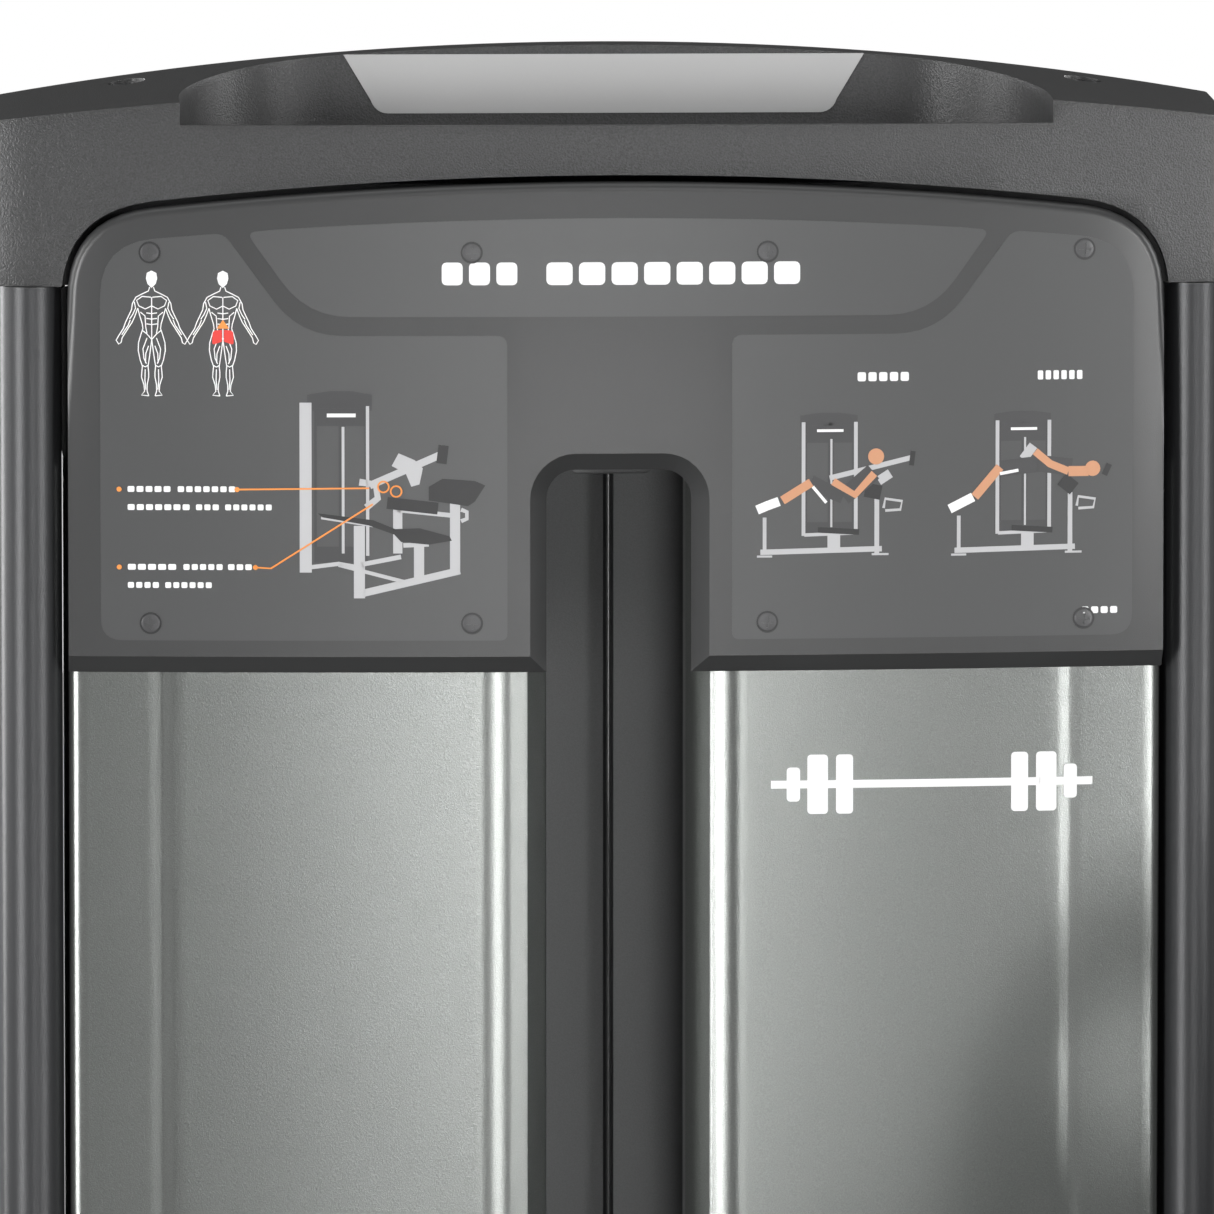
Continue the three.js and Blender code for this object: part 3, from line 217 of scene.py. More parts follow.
def finish(name, color, roughness, grain_scale, grain, bump, metallic=0.0, mottle=0.12, coat=0.0):
    material = bpy.data.materials.new(name)
    material.use_nodes = True
    nodes, links = material.node_tree.nodes, material.node_tree.links
    shader = nodes["Principled BSDF"]
    shader.inputs["Metallic"].default_value = metallic
    shader.inputs["Coat Weight"].default_value = coat
    place = nodes.new("ShaderNodeTexCoord")
    look_node = nodes.new("ShaderNodeGroup")
    look_node.node_tree = surface
    look_node.inputs["Color"].default_value = (*color, 1.0)
    look_node.inputs["Grain scale"].default_value = grain_scale
    look_node.inputs["Grain"].default_value = grain
    look_node.inputs["Mottle"].default_value = mottle
    look_node.inputs["Roughness"].default_value = roughness
    relief = nodes.new("ShaderNodeBump")
    relief.inputs["Strength"].default_value = bump
    relief.inputs["Distance"].default_value = 0.0004
    links.new(place.outputs["Object"], look_node.inputs["Vector"])
    links.new(look_node.outputs["Color"], shader.inputs["Base Color"])
    links.new(look_node.outputs["Roughness"], shader.inputs["Roughness"])
    links.new(look_node.outputs["Height"], relief.inputs["Height"])
    links.new(relief.outputs["Normal"], shader.inputs["Normal"])
    return material


charcoal_paint = finish("charcoal_paint", (0.037, 0.038, 0.040), 0.37, 1500, 0.3, 0.25, 0.25)
cap_plastic = finish("cap_plastic", (0.040, 0.0405, 0.041), 0.37, 1000, 1.3, 0.7)
panel_plastic = finish("panel_plastic", (0.043, 0.0435, 0.044), 0.35, 2200, 0.18, 0.1, mottle=0.05)
silver_shell = finish("silver_shell", (0.212, 0.221, 0.212), 0.285, 1500, 0.45, 0.22, 0.86, 0.05)
black_plastic = finish("black_plastic", (0.02, 0.02, 0.021), 0.4, 900, 0.3, 0.25)
black_iron = finish("black_iron", (0.028, 0.029, 0.031), 0.5, 700, 0.5, 0.6, 0.3)
black_rubber = finish("black_rubber", (0.022, 0.022, 0.023), 0.8, 600, 0.5, 0.6)
bright_steel = finish("bright_steel", (0.62, 0.63, 0.64), 0.16, 2500, 0.08, 0.05, 1.0, 0.05)
zinc_steel = finish("zinc_steel", (0.42, 0.43, 0.44), 0.32, 1500, 0.15, 0.1, 1.0)
orange_plastic = finish("orange_plastic", (0.72, 0.16, 0.015), 0.35, 900, 0.15, 0.12, coat=0.3)
cable_nylon = finish("cable_nylon", (0.022, 0.022, 0.023), 0.35, 1800, 0.3, 0.2, coat=0.3)


# ---- Head cap ----
# One hollow moulding over both uprights, in sandy textured plastic. It carries an open shelf
# behind a straight front rim, and its lower edge is cut out round the instruction panel.
def deselect():
    if bpy.context.mode != "OBJECT":
        bpy.ops.object.mode_set(mode="OBJECT")
    bpy.ops.object.select_all(action="DESELECT")


def take(piece):
    deselect()
    piece.select_set(True)
    bpy.context.view_layer.objects.active = piece


def edit_all():
    bpy.ops.object.mode_set(mode="EDIT")
    bpy.ops.mesh.select_all(action="SELECT")


def leave_edit():
    bpy.ops.object.mode_set(mode="OBJECT")


def heal(piece):
    """Merges doubled vertices and turns every face outwards."""
    take(piece)
    edit_all()
    bpy.ops.mesh.remove_doubles(threshold=0.00001)
    bpy.ops.mesh.normals_make_consistent(inside=False)
    leave_edit()


PRISM_AXES = {
    "z": Matrix.Identity(4),
    "y": Matrix(((1, 0, 0, 0), (0, 0, 1, 0), (0, 1, 0, 0), (0, 0, 0, 1))),
    "x": Matrix(((0, 0, 1, 0), (1, 0, 0, 0), (0, 1, 0, 0), (0, 0, 0, 1))),
}


def prism(name, outline, low, high, along="z"):
    """A flat ring laid out on an outline, filled, and extruded from `low` to `high`."""
    deselect()
    bpy.ops.mesh.primitive_circle_add(vertices=len(outline), fill_type="NGON")
    piece = bpy.context.object
    piece.name = name
    for vertex, (across, up) in zip(piece.data.vertices, outline):
        vertex.co = (across, up, low)
    edit_all()
    bpy.ops.mesh.extrude_region_move(TRANSFORM_OT_translate={"value": (0, 0, high - low)})
    leave_edit()
    piece.data.transform(PRISM_AXES[along])
    heal(piece)
    return piece


def arc(x, y, radius, start, end, steps):
    angles = [math.radians(start + (end - start) * i / steps) for i in range(steps + 1)]
    return [(x + radius * math.cos(a), y + radius * math.sin(a)) for a in angles]


def slices(piece, axis, places):
    """Cuts the faces across one axis, so that the piece can be bent."""
    take(piece)
    bpy.ops.object.mode_set(mode="EDIT")
    normal = Vector((0, 0, 0))
    normal[axis] = 1
    for place in places:
        bpy.ops.mesh.select_all(action="SELECT")
        bpy.ops.mesh.bisect(plane_co=normal * place, plane_no=normal)
    leave_edit()


def carve(piece, cutter):
    take(piece)
    cut = piece.modifiers.new("cut", "BOOLEAN")
    cut.operation = "DIFFERENCE"
    cut.solver = "EXACT"
    cut.object = cutter
    bpy.ops.object.modifier_apply(modifier=cut.name)
    bpy.data.objects.remove(cutter)


def ease(piece, width, segments=3, angle=35):
    """Rounds every edge that is sharper than the angle, then smooths the shading."""
    take(piece)
    edge = piece.modifiers.new("edge", "BEVEL")
    edge.width = width
    edge.segments = segments
    edge.limit_method = "ANGLE"
    edge.angle_limit = math.radians(angle)
    bpy.ops.object.modifier_apply(modifier=edge.name)
    bpy.ops.object.shade_smooth_by_angle(angle=math.radians(40))


def smooth(piece, angle=40):
    take(piece)
    bpy.ops.object.shade_smooth_by_angle(angle=math.radians(angle))


def settle(piece, body, slot, material, *nodes):
    """Gives a finished piece its material, its body and the CAD nodes it stands for. The slot is not
    used.
    """
    piece.data.materials.clear()
    piece.data.materials.append(material)
    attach(piece, body)
    if nodes:
        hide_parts(*nodes)
    return piece


def in_tower(piece):
    """Moves a piece from the tower's own middle and front to its place in the frame."""
    piece.data.transform(Matrix.Translation((tower_x, front_y, 0)))
    return piece


def bow(x):
    return -bow_depth * (1 - (x / half_width) ** 2)


def steps_between(low, high, count):
    return [low + (high - low) * i / count for i in range(count + 1)]


cap_inset = 0.006
skirt_bottom = cap_low.z
ridge_y = 0.124
shelf_half = 0.241
shelf_floor = 1.448
shelf_rim = 1.468
shelf_back = 0.112
cap_screw_x, cap_screw_y = 0.2675, 0.096


def ridge_z(x):
    return cap_high.z - 0.25 * x * x


def cap_top(x, y):
    """Height of the cap's top: it climbs from the front edge to the ridge, then rolls down."""
    front_z = 1.490 - 0.1724 * x * x
    climb = min(max((y - bow(x)) / (ridge_y - bow(x)), 0.0), 1.0)
    over = max(y - ridge_y, 0.0)
    return front_z + (ridge_z(x) - front_z) * climb - 14.0 * over * over


def arch_outline(margin, bottom, half=0.303, top=1.437, rise=0.020, corner=0.046):
    """The panel's outline from above, grown by a margin: straight sides and an arched top."""
    x = half + margin
    radius = corner + margin
    steepness = rise / half**2

    def arch(across):
        return top + margin - steepness * across * across

    def bent(side, steps=10):
        start = Vector((side * x, arch(x) - radius))
        hinge = Vector((side * x, arch(x)))
        end = Vector((side * (x - radius), arch(x - radius)))
        points = []
        for i in range(steps + 1):
            t = i / steps
            points.append(start * (1 - t) ** 2 + hinge * 2 * t * (1 - t) + end * t * t)
        return [(point.x, point.y) for point in points]

    across = steps_between(x - radius, radius - x, 28)[1:-1]
    crown = [(place, arch(place)) for place in across]
    return [(-x, bottom), (x, bottom), *bent(1), *crown, *reversed(bent(-1))]


def head_cap():
    top = cap_high.z + 0.02
    across = steps_between(-half_width, half_width, 40)
    deep = steps_between(cap_inset, tower_depth, 14)
    body = prism(
        "head_cap",
        [(-half_width, skirt_bottom), (half_width, skirt_bottom)]
        + [(x, top) for x in reversed(across)],
        cap_inset,
        tower_depth,
        "y",
    )
    slices(body, 0, across[1:-1])
    slices(body, 1, deep[1:-1])
    slices(body, 2, [1.400, 1.430, 1.460])
    for vertex in body.data.vertices:
        fade = min(max((vertex.co.y - cap_inset) / (tower_depth - cap_inset), 0.0), 1.0)
        vertex.co.y += bow(vertex.co.x) * (1 - fade)
        if vertex.co.z > top - 0.001:
            vertex.co.z = cap_top(vertex.co.x, vertex.co.y)
    wall = 0.004
    inner = half_width - wall
    hollow = prism(
        "hollow",
        [(x, bow(x) + cap_inset + wall) for x in steps_between(-inner, inner, 20)]
        + [(inner, tower_depth - wall), (-inner, tower_depth - wall)],
        1.30,
        shelf_floor - wall,
    )
    carve(body, hollow)
    carve(body, prism("notch", arch_outline(0.0035, 1.30), -0.05, 0.04, "y"))
    lip = 0.006
    corner = 0.084
    ends = []
    for i in range(13):
        turn = math.radians(90 * i / 12)
        ends.append(
            (
                shelf_half - corner * (1 - math.cos(turn)),
                0.012 + (shelf_back - 0.012) * math.sin(turn),
            )
        )
    front = [(x, bow(x) + cap_inset + lip) for x in steps_between(-shelf_half, shelf_half, 20)]
    back = ends + [(-x, y) for x, y in reversed(ends)]
    carve(body, prism("shelf", front + back, shelf_floor, 1.60))
    rim = prism(
        "rim",
        [(-shelf_half, -0.06), (shelf_half, -0.06), (shelf_half, 0.012), (-shelf_half, 0.012)],
        shelf_rim,
        1.60,
    )
    carve(body, rim)
    for side in (-1, 1):
        well = prism("well", arc(side * cap_screw_x, cap_screw_y, 0.0105, 0, 345, 23), 1.4845, 1.60)
        carve(body, well)
    ease(body, 0.0022, 3, 38)
    return in_tower(body)


settle(head_cap(), "frame", "cap", cap_plastic, "head_cap")


def stood(piece, centre, axis):
    """Turns a piece's +Z to the axis and moves its origin to `centre`."""
    turn = Vector((0, 0, 1)).rotation_difference(Vector(axis)).to_matrix().to_4x4()
    piece.data.transform(Matrix.Translation(Vector(centre)) @ turn)


def turned(name, profile, centre, axis, steps=48):
    """A closed profile of (radius, height) points, spun round an axis through `centre`."""
    deselect()
    bpy.ops.mesh.primitive_circle_add(vertices=len(profile), fill_type="NOTHING")
    piece = bpy.context.object
    piece.name = name
    for vertex, (radius, height) in zip(piece.data.vertices, profile):
        vertex.co = (radius, 0, height)
    edit_all()
    bpy.ops.mesh.spin(steps=steps, angle=math.tau, center=(0, 0, 0), axis=(0, 0, 1))
    leave_edit()
    stood(piece, centre, axis)
    heal(piece)
    smooth(piece)
    return piece


def disc_profile(radius, low, high, edge, inner=0.0):
    """A turned disc with a rounded upper edge."""
    start = [(inner, low), (radius, low), (radius, high - edge)]
    corner = arc(radius - edge, high - edge, edge, 0, 90, 4)[1:]
    return start + corner + [(inner, high)]


def joined(name, pieces):
    """Joins loose pieces into the first one, as one mesh."""
    deselect()
    for piece in pieces:
        piece.select_set(True)
    bpy.context.view_layer.objects.active = pieces[0]
    if len(pieces) > 1:
        bpy.ops.object.join()
    pieces[0].name = name
    return pieces[0]


def screw_head(name, centre, axis, radius=0.0052):
    """A countersunk head with a cross recess, standing slightly proud."""
    head = turned(name, disc_profile(radius, -0.002, 0.0006, 0.0005), (0, 0, 0), (0, 0, 1), 24)
    reach, half = radius * 0.62, radius * 0.13
    for box in ((reach, half), (half, reach)):
        outline = [(-box[0], -box[1]), (box[0], -box[1]), (box[0], box[1]), (-box[0], box[1])]
        carve(head, prism("recess", outline, -0.0012, 0.01))
    stood(head, centre, axis)
    return head


cap_screws = [
    screw_head(f"cap_screw_{i}", (side * cap_screw_x, cap_screw_y, 1.4855), (0, 0, 1), 0.0075)
    for i, side in enumerate((-1, 1))
]
settle(in_tower(joined("cap_screws", cap_screws)), "frame", "cap", black_iron)


# ---- Shelf label ----
# A printed light grey trapezoid of film on the shelf's back wall, with rounded lower corners.
label_film = finish("label_film", (0.46, 0.46, 0.46), 0.45, 2500, 0.05, 0.03, mottle=0.03)


def shelf_label():
    foot, shoulder, radius = 0.119, 0.146, 0.010
    low, high = 1.4685, 1.5015
    outline = (
        [(shoulder, high)]
        + [(-shoulder, high)]
        + arc(-foot - 0.002, low + radius, radius, 195, 270, 6)
        + arc(foot + 0.002, low + radius, radius, 270, 345, 6)
    )
    film = prism("shelf_label", outline, shelf_back - 0.0012, shelf_back - 0.0003, "y")
    return in_tower(film)


settle(shelf_label(), "frame", "cap", label_film)


# ---- Instruction panel ----
# A thick moulded plate on the bowed front, screwed on over the shields. Its lower edge and the
# slot for the cable have a wide chamfer, and its outer edge is rounded.
panel_half = 0.303
panel_bottom = 1.166
panel_thickness = 0.0107
slot_half = 0.040
slot_top = 1.278
chamfer = 0.0095


def chamfer_edges(piece, chosen, offset, segments):
    """Bevels the edges whose two ends both pass the test."""
    take(piece)
    bpy.ops.object.mode_set(mode="EDIT")
    bpy.ops.mesh.select_mode(type="EDGE")
    bpy.ops.mesh.select_all(action="DESELECT")
    leave_edit()
    for edge in piece.data.edges:
        edge.select = all(chosen(piece.data.vertices[i].co) for i in edge.vertices)
    bpy.ops.object.mode_set(mode="EDIT")
    bpy.ops.mesh.bevel(offset=offset, segments=segments, affect="EDGES", clamp_overlap=False)
    leave_edit()


def instruction_panel():
    arch = arch_outline(0, panel_bottom)
    round_ = 0.016
    slot = (
        [(slot_half, panel_bottom)]
        + arc(slot_half - round_, slot_top - round_, round_, 0, 90, 8)
        + arc(-slot_half + round_, slot_top - round_, round_, 90, 180, 8)
        + [(-slot_half, panel_bottom)]
    )
    outline = [arch[0], *reversed(slot), *arch[1:]]
    plate = prism("instruction_panel", outline, 0.0, panel_thickness, "y")

    def lower(co):
        near_slot = abs(co.x) < slot_half + 0.001 and co.z < slot_top + 0.001
        return co.y < 0.0001 and (near_slot or co.z < panel_bottom + 0.0001)

    def outer(co):
        return co.y < 0.0001 and co.z > panel_bottom + 0.02 and (
            abs(co.x) > panel_half - 0.0001 or co.z > 1.36
        )

    chamfer_edges(plate, lower, chamfer, 1)
    chamfer_edges(plate, outer, 0.005, 5)
    slices(plate, 0, steps_between(-0.30, 0.30, 40))
    for vertex in plate.data.vertices:
        vertex.co.y += bow(vertex.co.x)
    smooth(plate, 25)
    return in_tower(plate)


settle(instruction_panel(), "frame", "placard", panel_plastic, "instruction_panel")


def reach_in_x(piece):
    places = [vertex.co.x for vertex in piece.data.vertices]
    return min(places), max(places)


def on_panel(piece, lift, material, pitch=0.02):
    """Bends a flat print to the panel's bow and sets it just proud of the face."""
    low, high = reach_in_x(piece)
    if high - low > pitch:
        slices(piece, 0, steps_between(low, high, int((high - low) / pitch) + 1)[1:-1])
    for vertex in piece.data.vertices:
        vertex.co.y += bow(vertex.co.x) - lift
    return settle(in_tower(piece), "frame", "placard", material)


def block(low, high, base, top):
    """The four corners of a plain rectangle."""
    return [(low, base), (high, base), (high, top), (low, top)]


def rounded(low, high, base, top, radius, steps=5):
    return (
        arc(high - radius, base + radius, radius, -90, 0, steps)
        + arc(high - radius, top - radius, radius, 0, 90, steps)
        + arc(low + radius, top - radius, radius, 90, 180, steps)
        + arc(low + radius, base + radius, radius, 180, 270, steps)
    )


def flat(name, outline, thickness=0.0001):
    """A film lying against the front plane."""
    return prism(name, outline, -thickness, 0.0, "y")


# ---- Printed fields on the panel ----
# Screen printed areas in a lighter grey: one field on each side and a banner below the arch,
# with the plain panel left as a frame between them.
print_grey = finish("print_grey", (0.066, 0.067, 0.068), 0.36, 2200, 0.1, 0.06, mottle=0.04)


def ink(name, color, roughness=0.45):
    """Flat screen printing ink, with almost no grain."""
    return finish(name, color, roughness, 2200, 0.03, 0.02, mottle=0.02)


print_white = ink("print_white", (0.9, 0.9, 0.9))
print_orange = ink("print_orange", (0.85, 0.3, 0.06))
print_red = ink("print_red", (0.75, 0.05, 0.04))
print_dark = ink("print_dark", (0.05, 0.05, 0.052))
print_light = ink("print_light", (0.5, 0.5, 0.51))
# Black print ink for the drawings. The same black also paints the shadow rings round the panel screws.
black_print_and_shadow = ink("black_print_and_shadow", (0.018, 0.018, 0.019), 0.4)
print_tan = ink("print_tan", (0.62, 0.3, 0.16))


def softened(corners, steps=6):
    """A closed outline through (x, z, radius) corners, each one rounded by its radius."""
    points = []
    count = len(corners)
    for i, (x, z, radius) in enumerate(corners):
        here = Vector((x, z))
        before = (Vector(corners[i - 1][:2]) - here).normalized() * radius
        after = (Vector(corners[(i + 1) % count][:2]) - here).normalized() * radius
        for step in range(steps + 1):
            t = step / steps
            bend = (here + before) * (1 - t) ** 2 + here * 2 * t * (1 - t) + (here + after) * t * t
            points.append((bend.x, bend.y))
    return points


field = softened(
    [
        (0.0620, 1.1845, 0.004),
        (0.2854, 1.1845, 0.012),
        (0.2854, 1.4035, 0.030),
        (0.2175, 1.4092, 0.006),
        (0.1760, 1.3526, 0.024),
        (0.0620, 1.3526, 0.006),
    ]
)
on_panel(flat("right_field", field), 0.0002, print_grey)
on_panel(flat("left_field", [(-x, z) for x, z in reversed(field)]), 0.0002, print_grey)

banner_side = softened(
    [(0.0, 1.3630, 0.0), (0.1718, 1.3630, 0.024), (0.2055, 1.4100, 0.007), (0.0, 1.4160, 0.0)]
)
banner_right = banner_side[7:21]
banner_crown = [(x, 1.4172 - 0.1705 * x * x) for x in steps_between(0.190, -0.190, 20)]
banner_left = [(-x, z) for x, z in reversed(banner_right)]
on_panel(flat("banner", banner_right + banner_crown + banner_left), 0.0002, print_grey)


# ---- Printed marks on the panel ----
# Plain marks in white and orange print, with no lettering: blocks for headings and lines,
# round-headed figures, small drawings of the machine, and callout lines that end in dots.
def prints(name, outlines, material, lift=0.0003):
    """Prints one mark made of several outlines."""
    marks = [flat(f"{name}_{i}", outline) for i, outline in enumerate(outlines)]
    return on_panel(joined(name, marks), lift, material)


def blocks(left, base, width, height, count, gap):
    """A heading's row of plain blocks, one for each place in it."""
    step = (width + gap) / count
    radius = min(step - gap, height) * 0.22
    return [
        rounded(left + i * step, left + (i + 1) * step - gap, base, base + height, radius, 3)
        for i in range(count)
    ]


def block_rows(rows, height, gap):
    marks = []
    for left, base, width, count in rows:
        marks += blocks(left, base, width, height, count, gap)
    return marks


HEADING = [(-0.098, 1.3805, 0.0415, 3), (-0.0405, 1.3805, 0.140, 8)]
# Each group of blocks: its left end, its base, its width and how many blocks it has.
CALLOUTS = [
    (-0.2705, 1.2665, 0.0235, 5),
    (-0.243, 1.2665, 0.0315, 7),
    (-0.2705, 1.2565, 0.034, 7),
    (-0.233, 1.2565, 0.0125, 3),
    (-0.217, 1.2565, 0.0255, 6),
    (-0.2705, 1.2235, 0.0265, 5),
    (-0.240, 1.2235, 0.0215, 5),
    (-0.2155, 1.2235, 0.013, 3),
    (-0.2705, 1.2135, 0.017, 4),
    (-0.250, 1.2135, 0.0255, 6),
]
CAPTIONS = [(0.1315, 1.3265, 0.0285, 5), (0.2320, 1.3265, 0.0250, 6)]
CORNER_MARK = [(0.2570, 1.1965, 0.0200, 4)]
prints("heading_blocks", block_rows(HEADING, 0.0125, 0.0035), print_white)
caption_marks = block_rows(CALLOUTS, 0.0032, 0.0012) + block_rows(CAPTIONS, 0.005, 0.0014)
prints("caption_blocks", caption_marks + block_rows(CORNER_MARK, 0.0038, 0.0014), print_white)


def stroke(points, width):
    """The outline of a line of even width through the points."""
    left, right = [], []
    for i, point in enumerate(points):
        before = Vector(points[max(i - 1, 0)])
        after = Vector(points[min(i + 1, len(points) - 1)])
        along = (after - before).normalized()
        side = Vector((-along.y, along.x)) * width / 2
        left.append(tuple(Vector(point) + side))
        right.append(tuple(Vector(point) - side))
    return left + right[::-1]


FIGURE_LINES = {
    "shoulder": [(0.12, 6.95), (0.2, 6.7), (0.62, 6.5), (1.0, 6.3), (1.22, 5.9), (1.28, 5.5)],
    "outer_arm": [(1.28, 5.5), (1.42, 5.2), (1.66, 4.7), (1.8, 4.3), (2.12, 3.8)],
    "inner_arm": [(0.88, 5.6), (1.06, 5.1), (1.24, 4.7), (1.44, 4.4), (1.88, 3.7)],
    "hand": [(2.12, 3.8), (2.26, 3.55), (2.1, 3.3), (1.95, 3.4), (1.88, 3.7)],
    "arm_muscle": [(1.1, 6.0), (1.02, 5.6), (1.2, 5.2), (1.4, 4.9)],
    "forearm": [(1.36, 4.85), (1.5, 4.5), (1.9, 3.9)],
    "chest": [(0.0, 5.75), (0.4, 5.55), (0.82, 5.75), (0.95, 6.1), (0.6, 6.35), (0.05, 6.3)],
    "flank": [(0.88, 5.6), (0.78, 5.2), (0.6, 4.6), (0.56, 4.3), (0.68, 3.95), (0.84, 3.4)],
    "rib": [(0.72, 5.35), (0.42, 5.1), (0.38, 4.4), (0.3, 4.0)],
    "waist_1": [(0.0, 5.25), (0.34, 5.3)],
    "waist_2": [(0.0, 4.9), (0.34, 4.95)],
    "waist_3": [(0.0, 4.55), (0.34, 4.6)],
    "groin": [(0.0, 3.6), (0.3, 3.95), (0.62, 4.2)],
    "outer_thigh": [(0.84, 3.4), (0.86, 2.9), (0.74, 2.3), (0.6, 1.9), (0.64, 1.5)],
    "inner_thigh": [(0.0, 3.6), (0.08, 3.0), (0.16, 2.4), (0.24, 1.9), (0.2, 1.5)],
    "thigh_muscle": [(0.3, 3.7), (0.56, 3.0), (0.5, 2.4), (0.34, 2.05)],
    "thigh_line": [(0.2, 3.2), (0.38, 2.7), (0.4, 2.1)],
    "knee": [(0.24, 1.95), (0.42, 1.85), (0.6, 1.95)],
    "outer_calf": [(0.64, 1.5), (0.66, 1.2), (0.5, 0.7), (0.46, 0.3), (0.66, 0.05), (0.2, 0.0)],
    "inner_calf": [(0.2, 1.5), (0.2, 1.2), (0.3, 0.7), (0.3, 0.3), (0.2, 0.0)],
    "shin": [(0.42, 1.7), (0.44, 1.0), (0.38, 0.4)],
}


def figure(x, feet, height):
    """A plain standing figure in thin lines, the same on both sides, with a blank round head."""
    u = height / 8
    marks = []
    for side in (-1, 1):
        for points in FIGURE_LINES.values():
            marks.append(stroke([(x + side * a * u, feet + b * u) for a, b in points], 0.00055))
    marks.append(stroke([(x, feet + 6.3 * u), (x, feet + 3.6 * u)], 0.00055))
    head = [(0.0, 6.9), (0.26, 7.15), (0.36, 7.5), (0.3, 7.85), (0.0, 8.0)]
    blank = head + [(-a, b) for a, b in reversed(head[1:-1])]
    marks.append([(x + a * u, feet + b * u) for a, b in blank])
    return marks


def hollowed(outlines, width):
    """Each outline drawn as a thin closed line."""
    lines = []
    for outline in outlines:
        for start, end in zip(outline, outline[1:] + outline[:1]):
            lines.append(stroke([start, end], width))
    return lines


for i, figure_x in enumerate((-0.2570, -0.2180)):
    prints(f"figure_{i + 1}", figure(figure_x, 1.3195, 0.0690), print_white, 0.0004)
hip = softened(
    [(0.0005, 1.3495, 0.0005), (0.0060, 1.3475, 0.002), (0.0056, 1.3555, 0.002), (0.0005, 1.3560, 0.0005)]
)
prints(
    "figure_hips",
    [[(-0.2180 + side * a, b) for a, b in hip] for side in (-1, 1)],
    print_red,
    0.0005,
)
back_mark = [(-0.2215, 1.3566), (-0.2145, 1.3566), (-0.2180, 1.3615)]
prints("figure_back", [back_mark], print_orange, 0.0005)


# The drawings of the machine are laid out on a grid one drawing high.
def laid(left, base, scale, shapes):
    """Turns a drawing's bars (points and a width) and areas (points alone) into outlines."""
    outlines = []
    for points, width in shapes:
        spots = [(left + a * scale, base + b * scale) for a, b in points]
        outlines.append(stroke(spots, width * scale) if width else spots)
    return outlines


def tower_shapes(left, right, low, high, head):
    """A small tower in front view: face, shields, head, panel, heading and cable."""
    middle = (left + right) / 2
    wide = right - left
    face = [(left, low), (right, low), (right, high), (left, high)]
    cap = [(left - 0.03, high - 0.03), (right + 0.02, high - 0.03), (right + 0.02, high + head)]
    cap += [(middle + 0.2 * wide, high + head * 1.4), (middle - 0.2 * wide, high + head * 1.4)]
    cap += [(left - 0.03, high + head)]
    panel_low = high - 0.42 * wide
    panel = [(left + 0.01, panel_low), (right - 0.01, panel_low), (right - 0.01, high - 0.02)]
    panel += [(left + 0.01, high - 0.02)]
    shields = []
    for x0, x1 in ((left + 0.012, middle - 0.04 * wide), (middle + 0.08 * wide, right - 0.012)):
        shields.append(([(x0, low + 0.07), (x1, low + 0.07), (x1, panel_low), (x0, panel_low)], 0))
    return {
        "dark": [(face, 0), (cap, 0)],
        "mid": shields,
        "panel": [(panel, 0)],
        "light": [([(middle + 0.01, low + 0.04), (middle + 0.01, high - 0.1)], 0.012)],
        "white": [([(middle + a * wide, high - 0.05) for a in (-0.26, 0.28)], 0.016)],
    }


main_parts = tower_shapes(0.105, 0.335, 0.21, 0.90, 0.04)
main_parts["light"] += [
    ([(0.068, 0.167), (0.068, 0.905)], 0.052),
    ([(0.336, 0.24), (0.336, 0.89)], 0.014),
    ([(0.09, 0.19), (0.21, 0.205), (0.32, 0.185)], 0.018),
    ([(0.21, 0.20), (0.50, 0.125)], 0.016),
    ([(0.30, 0.20), (0.48, 0.235)], 0.020),
    ([(0.466, 0.25), (0.466, 0.47)], 0.040),
    ([(0.30, 0.055), (0.30, 0.37)], 0.048),
    ([(0.32, 0.078), (0.735, 0.175)], 0.032),
    ([(0.714, 0.165), (0.714, 0.47)], 0.044),
    ([(0.558, 0.14), (0.558, 0.28)], 0.044),
    ([(0.49, 0.285), (0.60, 0.29)], 0.020),
    ([(0.46, 0.44), (0.70, 0.415)], 0.020),
    ([(0.74, 0.39), (0.765, 0.40), (0.765, 0.43), (0.74, 0.44)], 0.018),
    ([(0.345, 0.545), (0.655, 0.68)], 0.032),
    (
        [(0.47, 0.685), (0.44, 0.63), (0.50, 0.60), (0.525, 0.54), (0.56, 0.55), (0.575, 0.62)]
        + [(0.54, 0.655)],
        0,
    ),
    ([(0.30, 0.56), (0.37, 0.55), (0.38, 0.49), (0.33, 0.45)], 0.030),
    ([(0.135, 0.405), (0.36, 0.37)], 0.012),
]
main_parts["black"] = [
    ([(0.12, 0.425), (0.36, 0.395), (0.52, 0.33), (0.49, 0.318), (0.34, 0.372), (0.14, 0.407)], 0),
    ([(0.43, 0.355), (0.56, 0.36), (0.69, 0.325), (0.70, 0.305), (0.60, 0.288), (0.48, 0.300)], 0),
    ([(0.42, 0.47), (0.64, 0.445)], 0.052),
    (
        [(0.60, 0.48), (0.60, 0.54), (0.66, 0.575), (0.80, 0.565), (0.845, 0.545), (0.80, 0.475)]
        + [(0.77, 0.455)],
        0,
    ),
    ([(0.655, 0.64), (0.665, 0.72)], 0.045),
]
side_parts = tower_shapes(0.325, 0.615, 0.19, 0.85, 0.04)
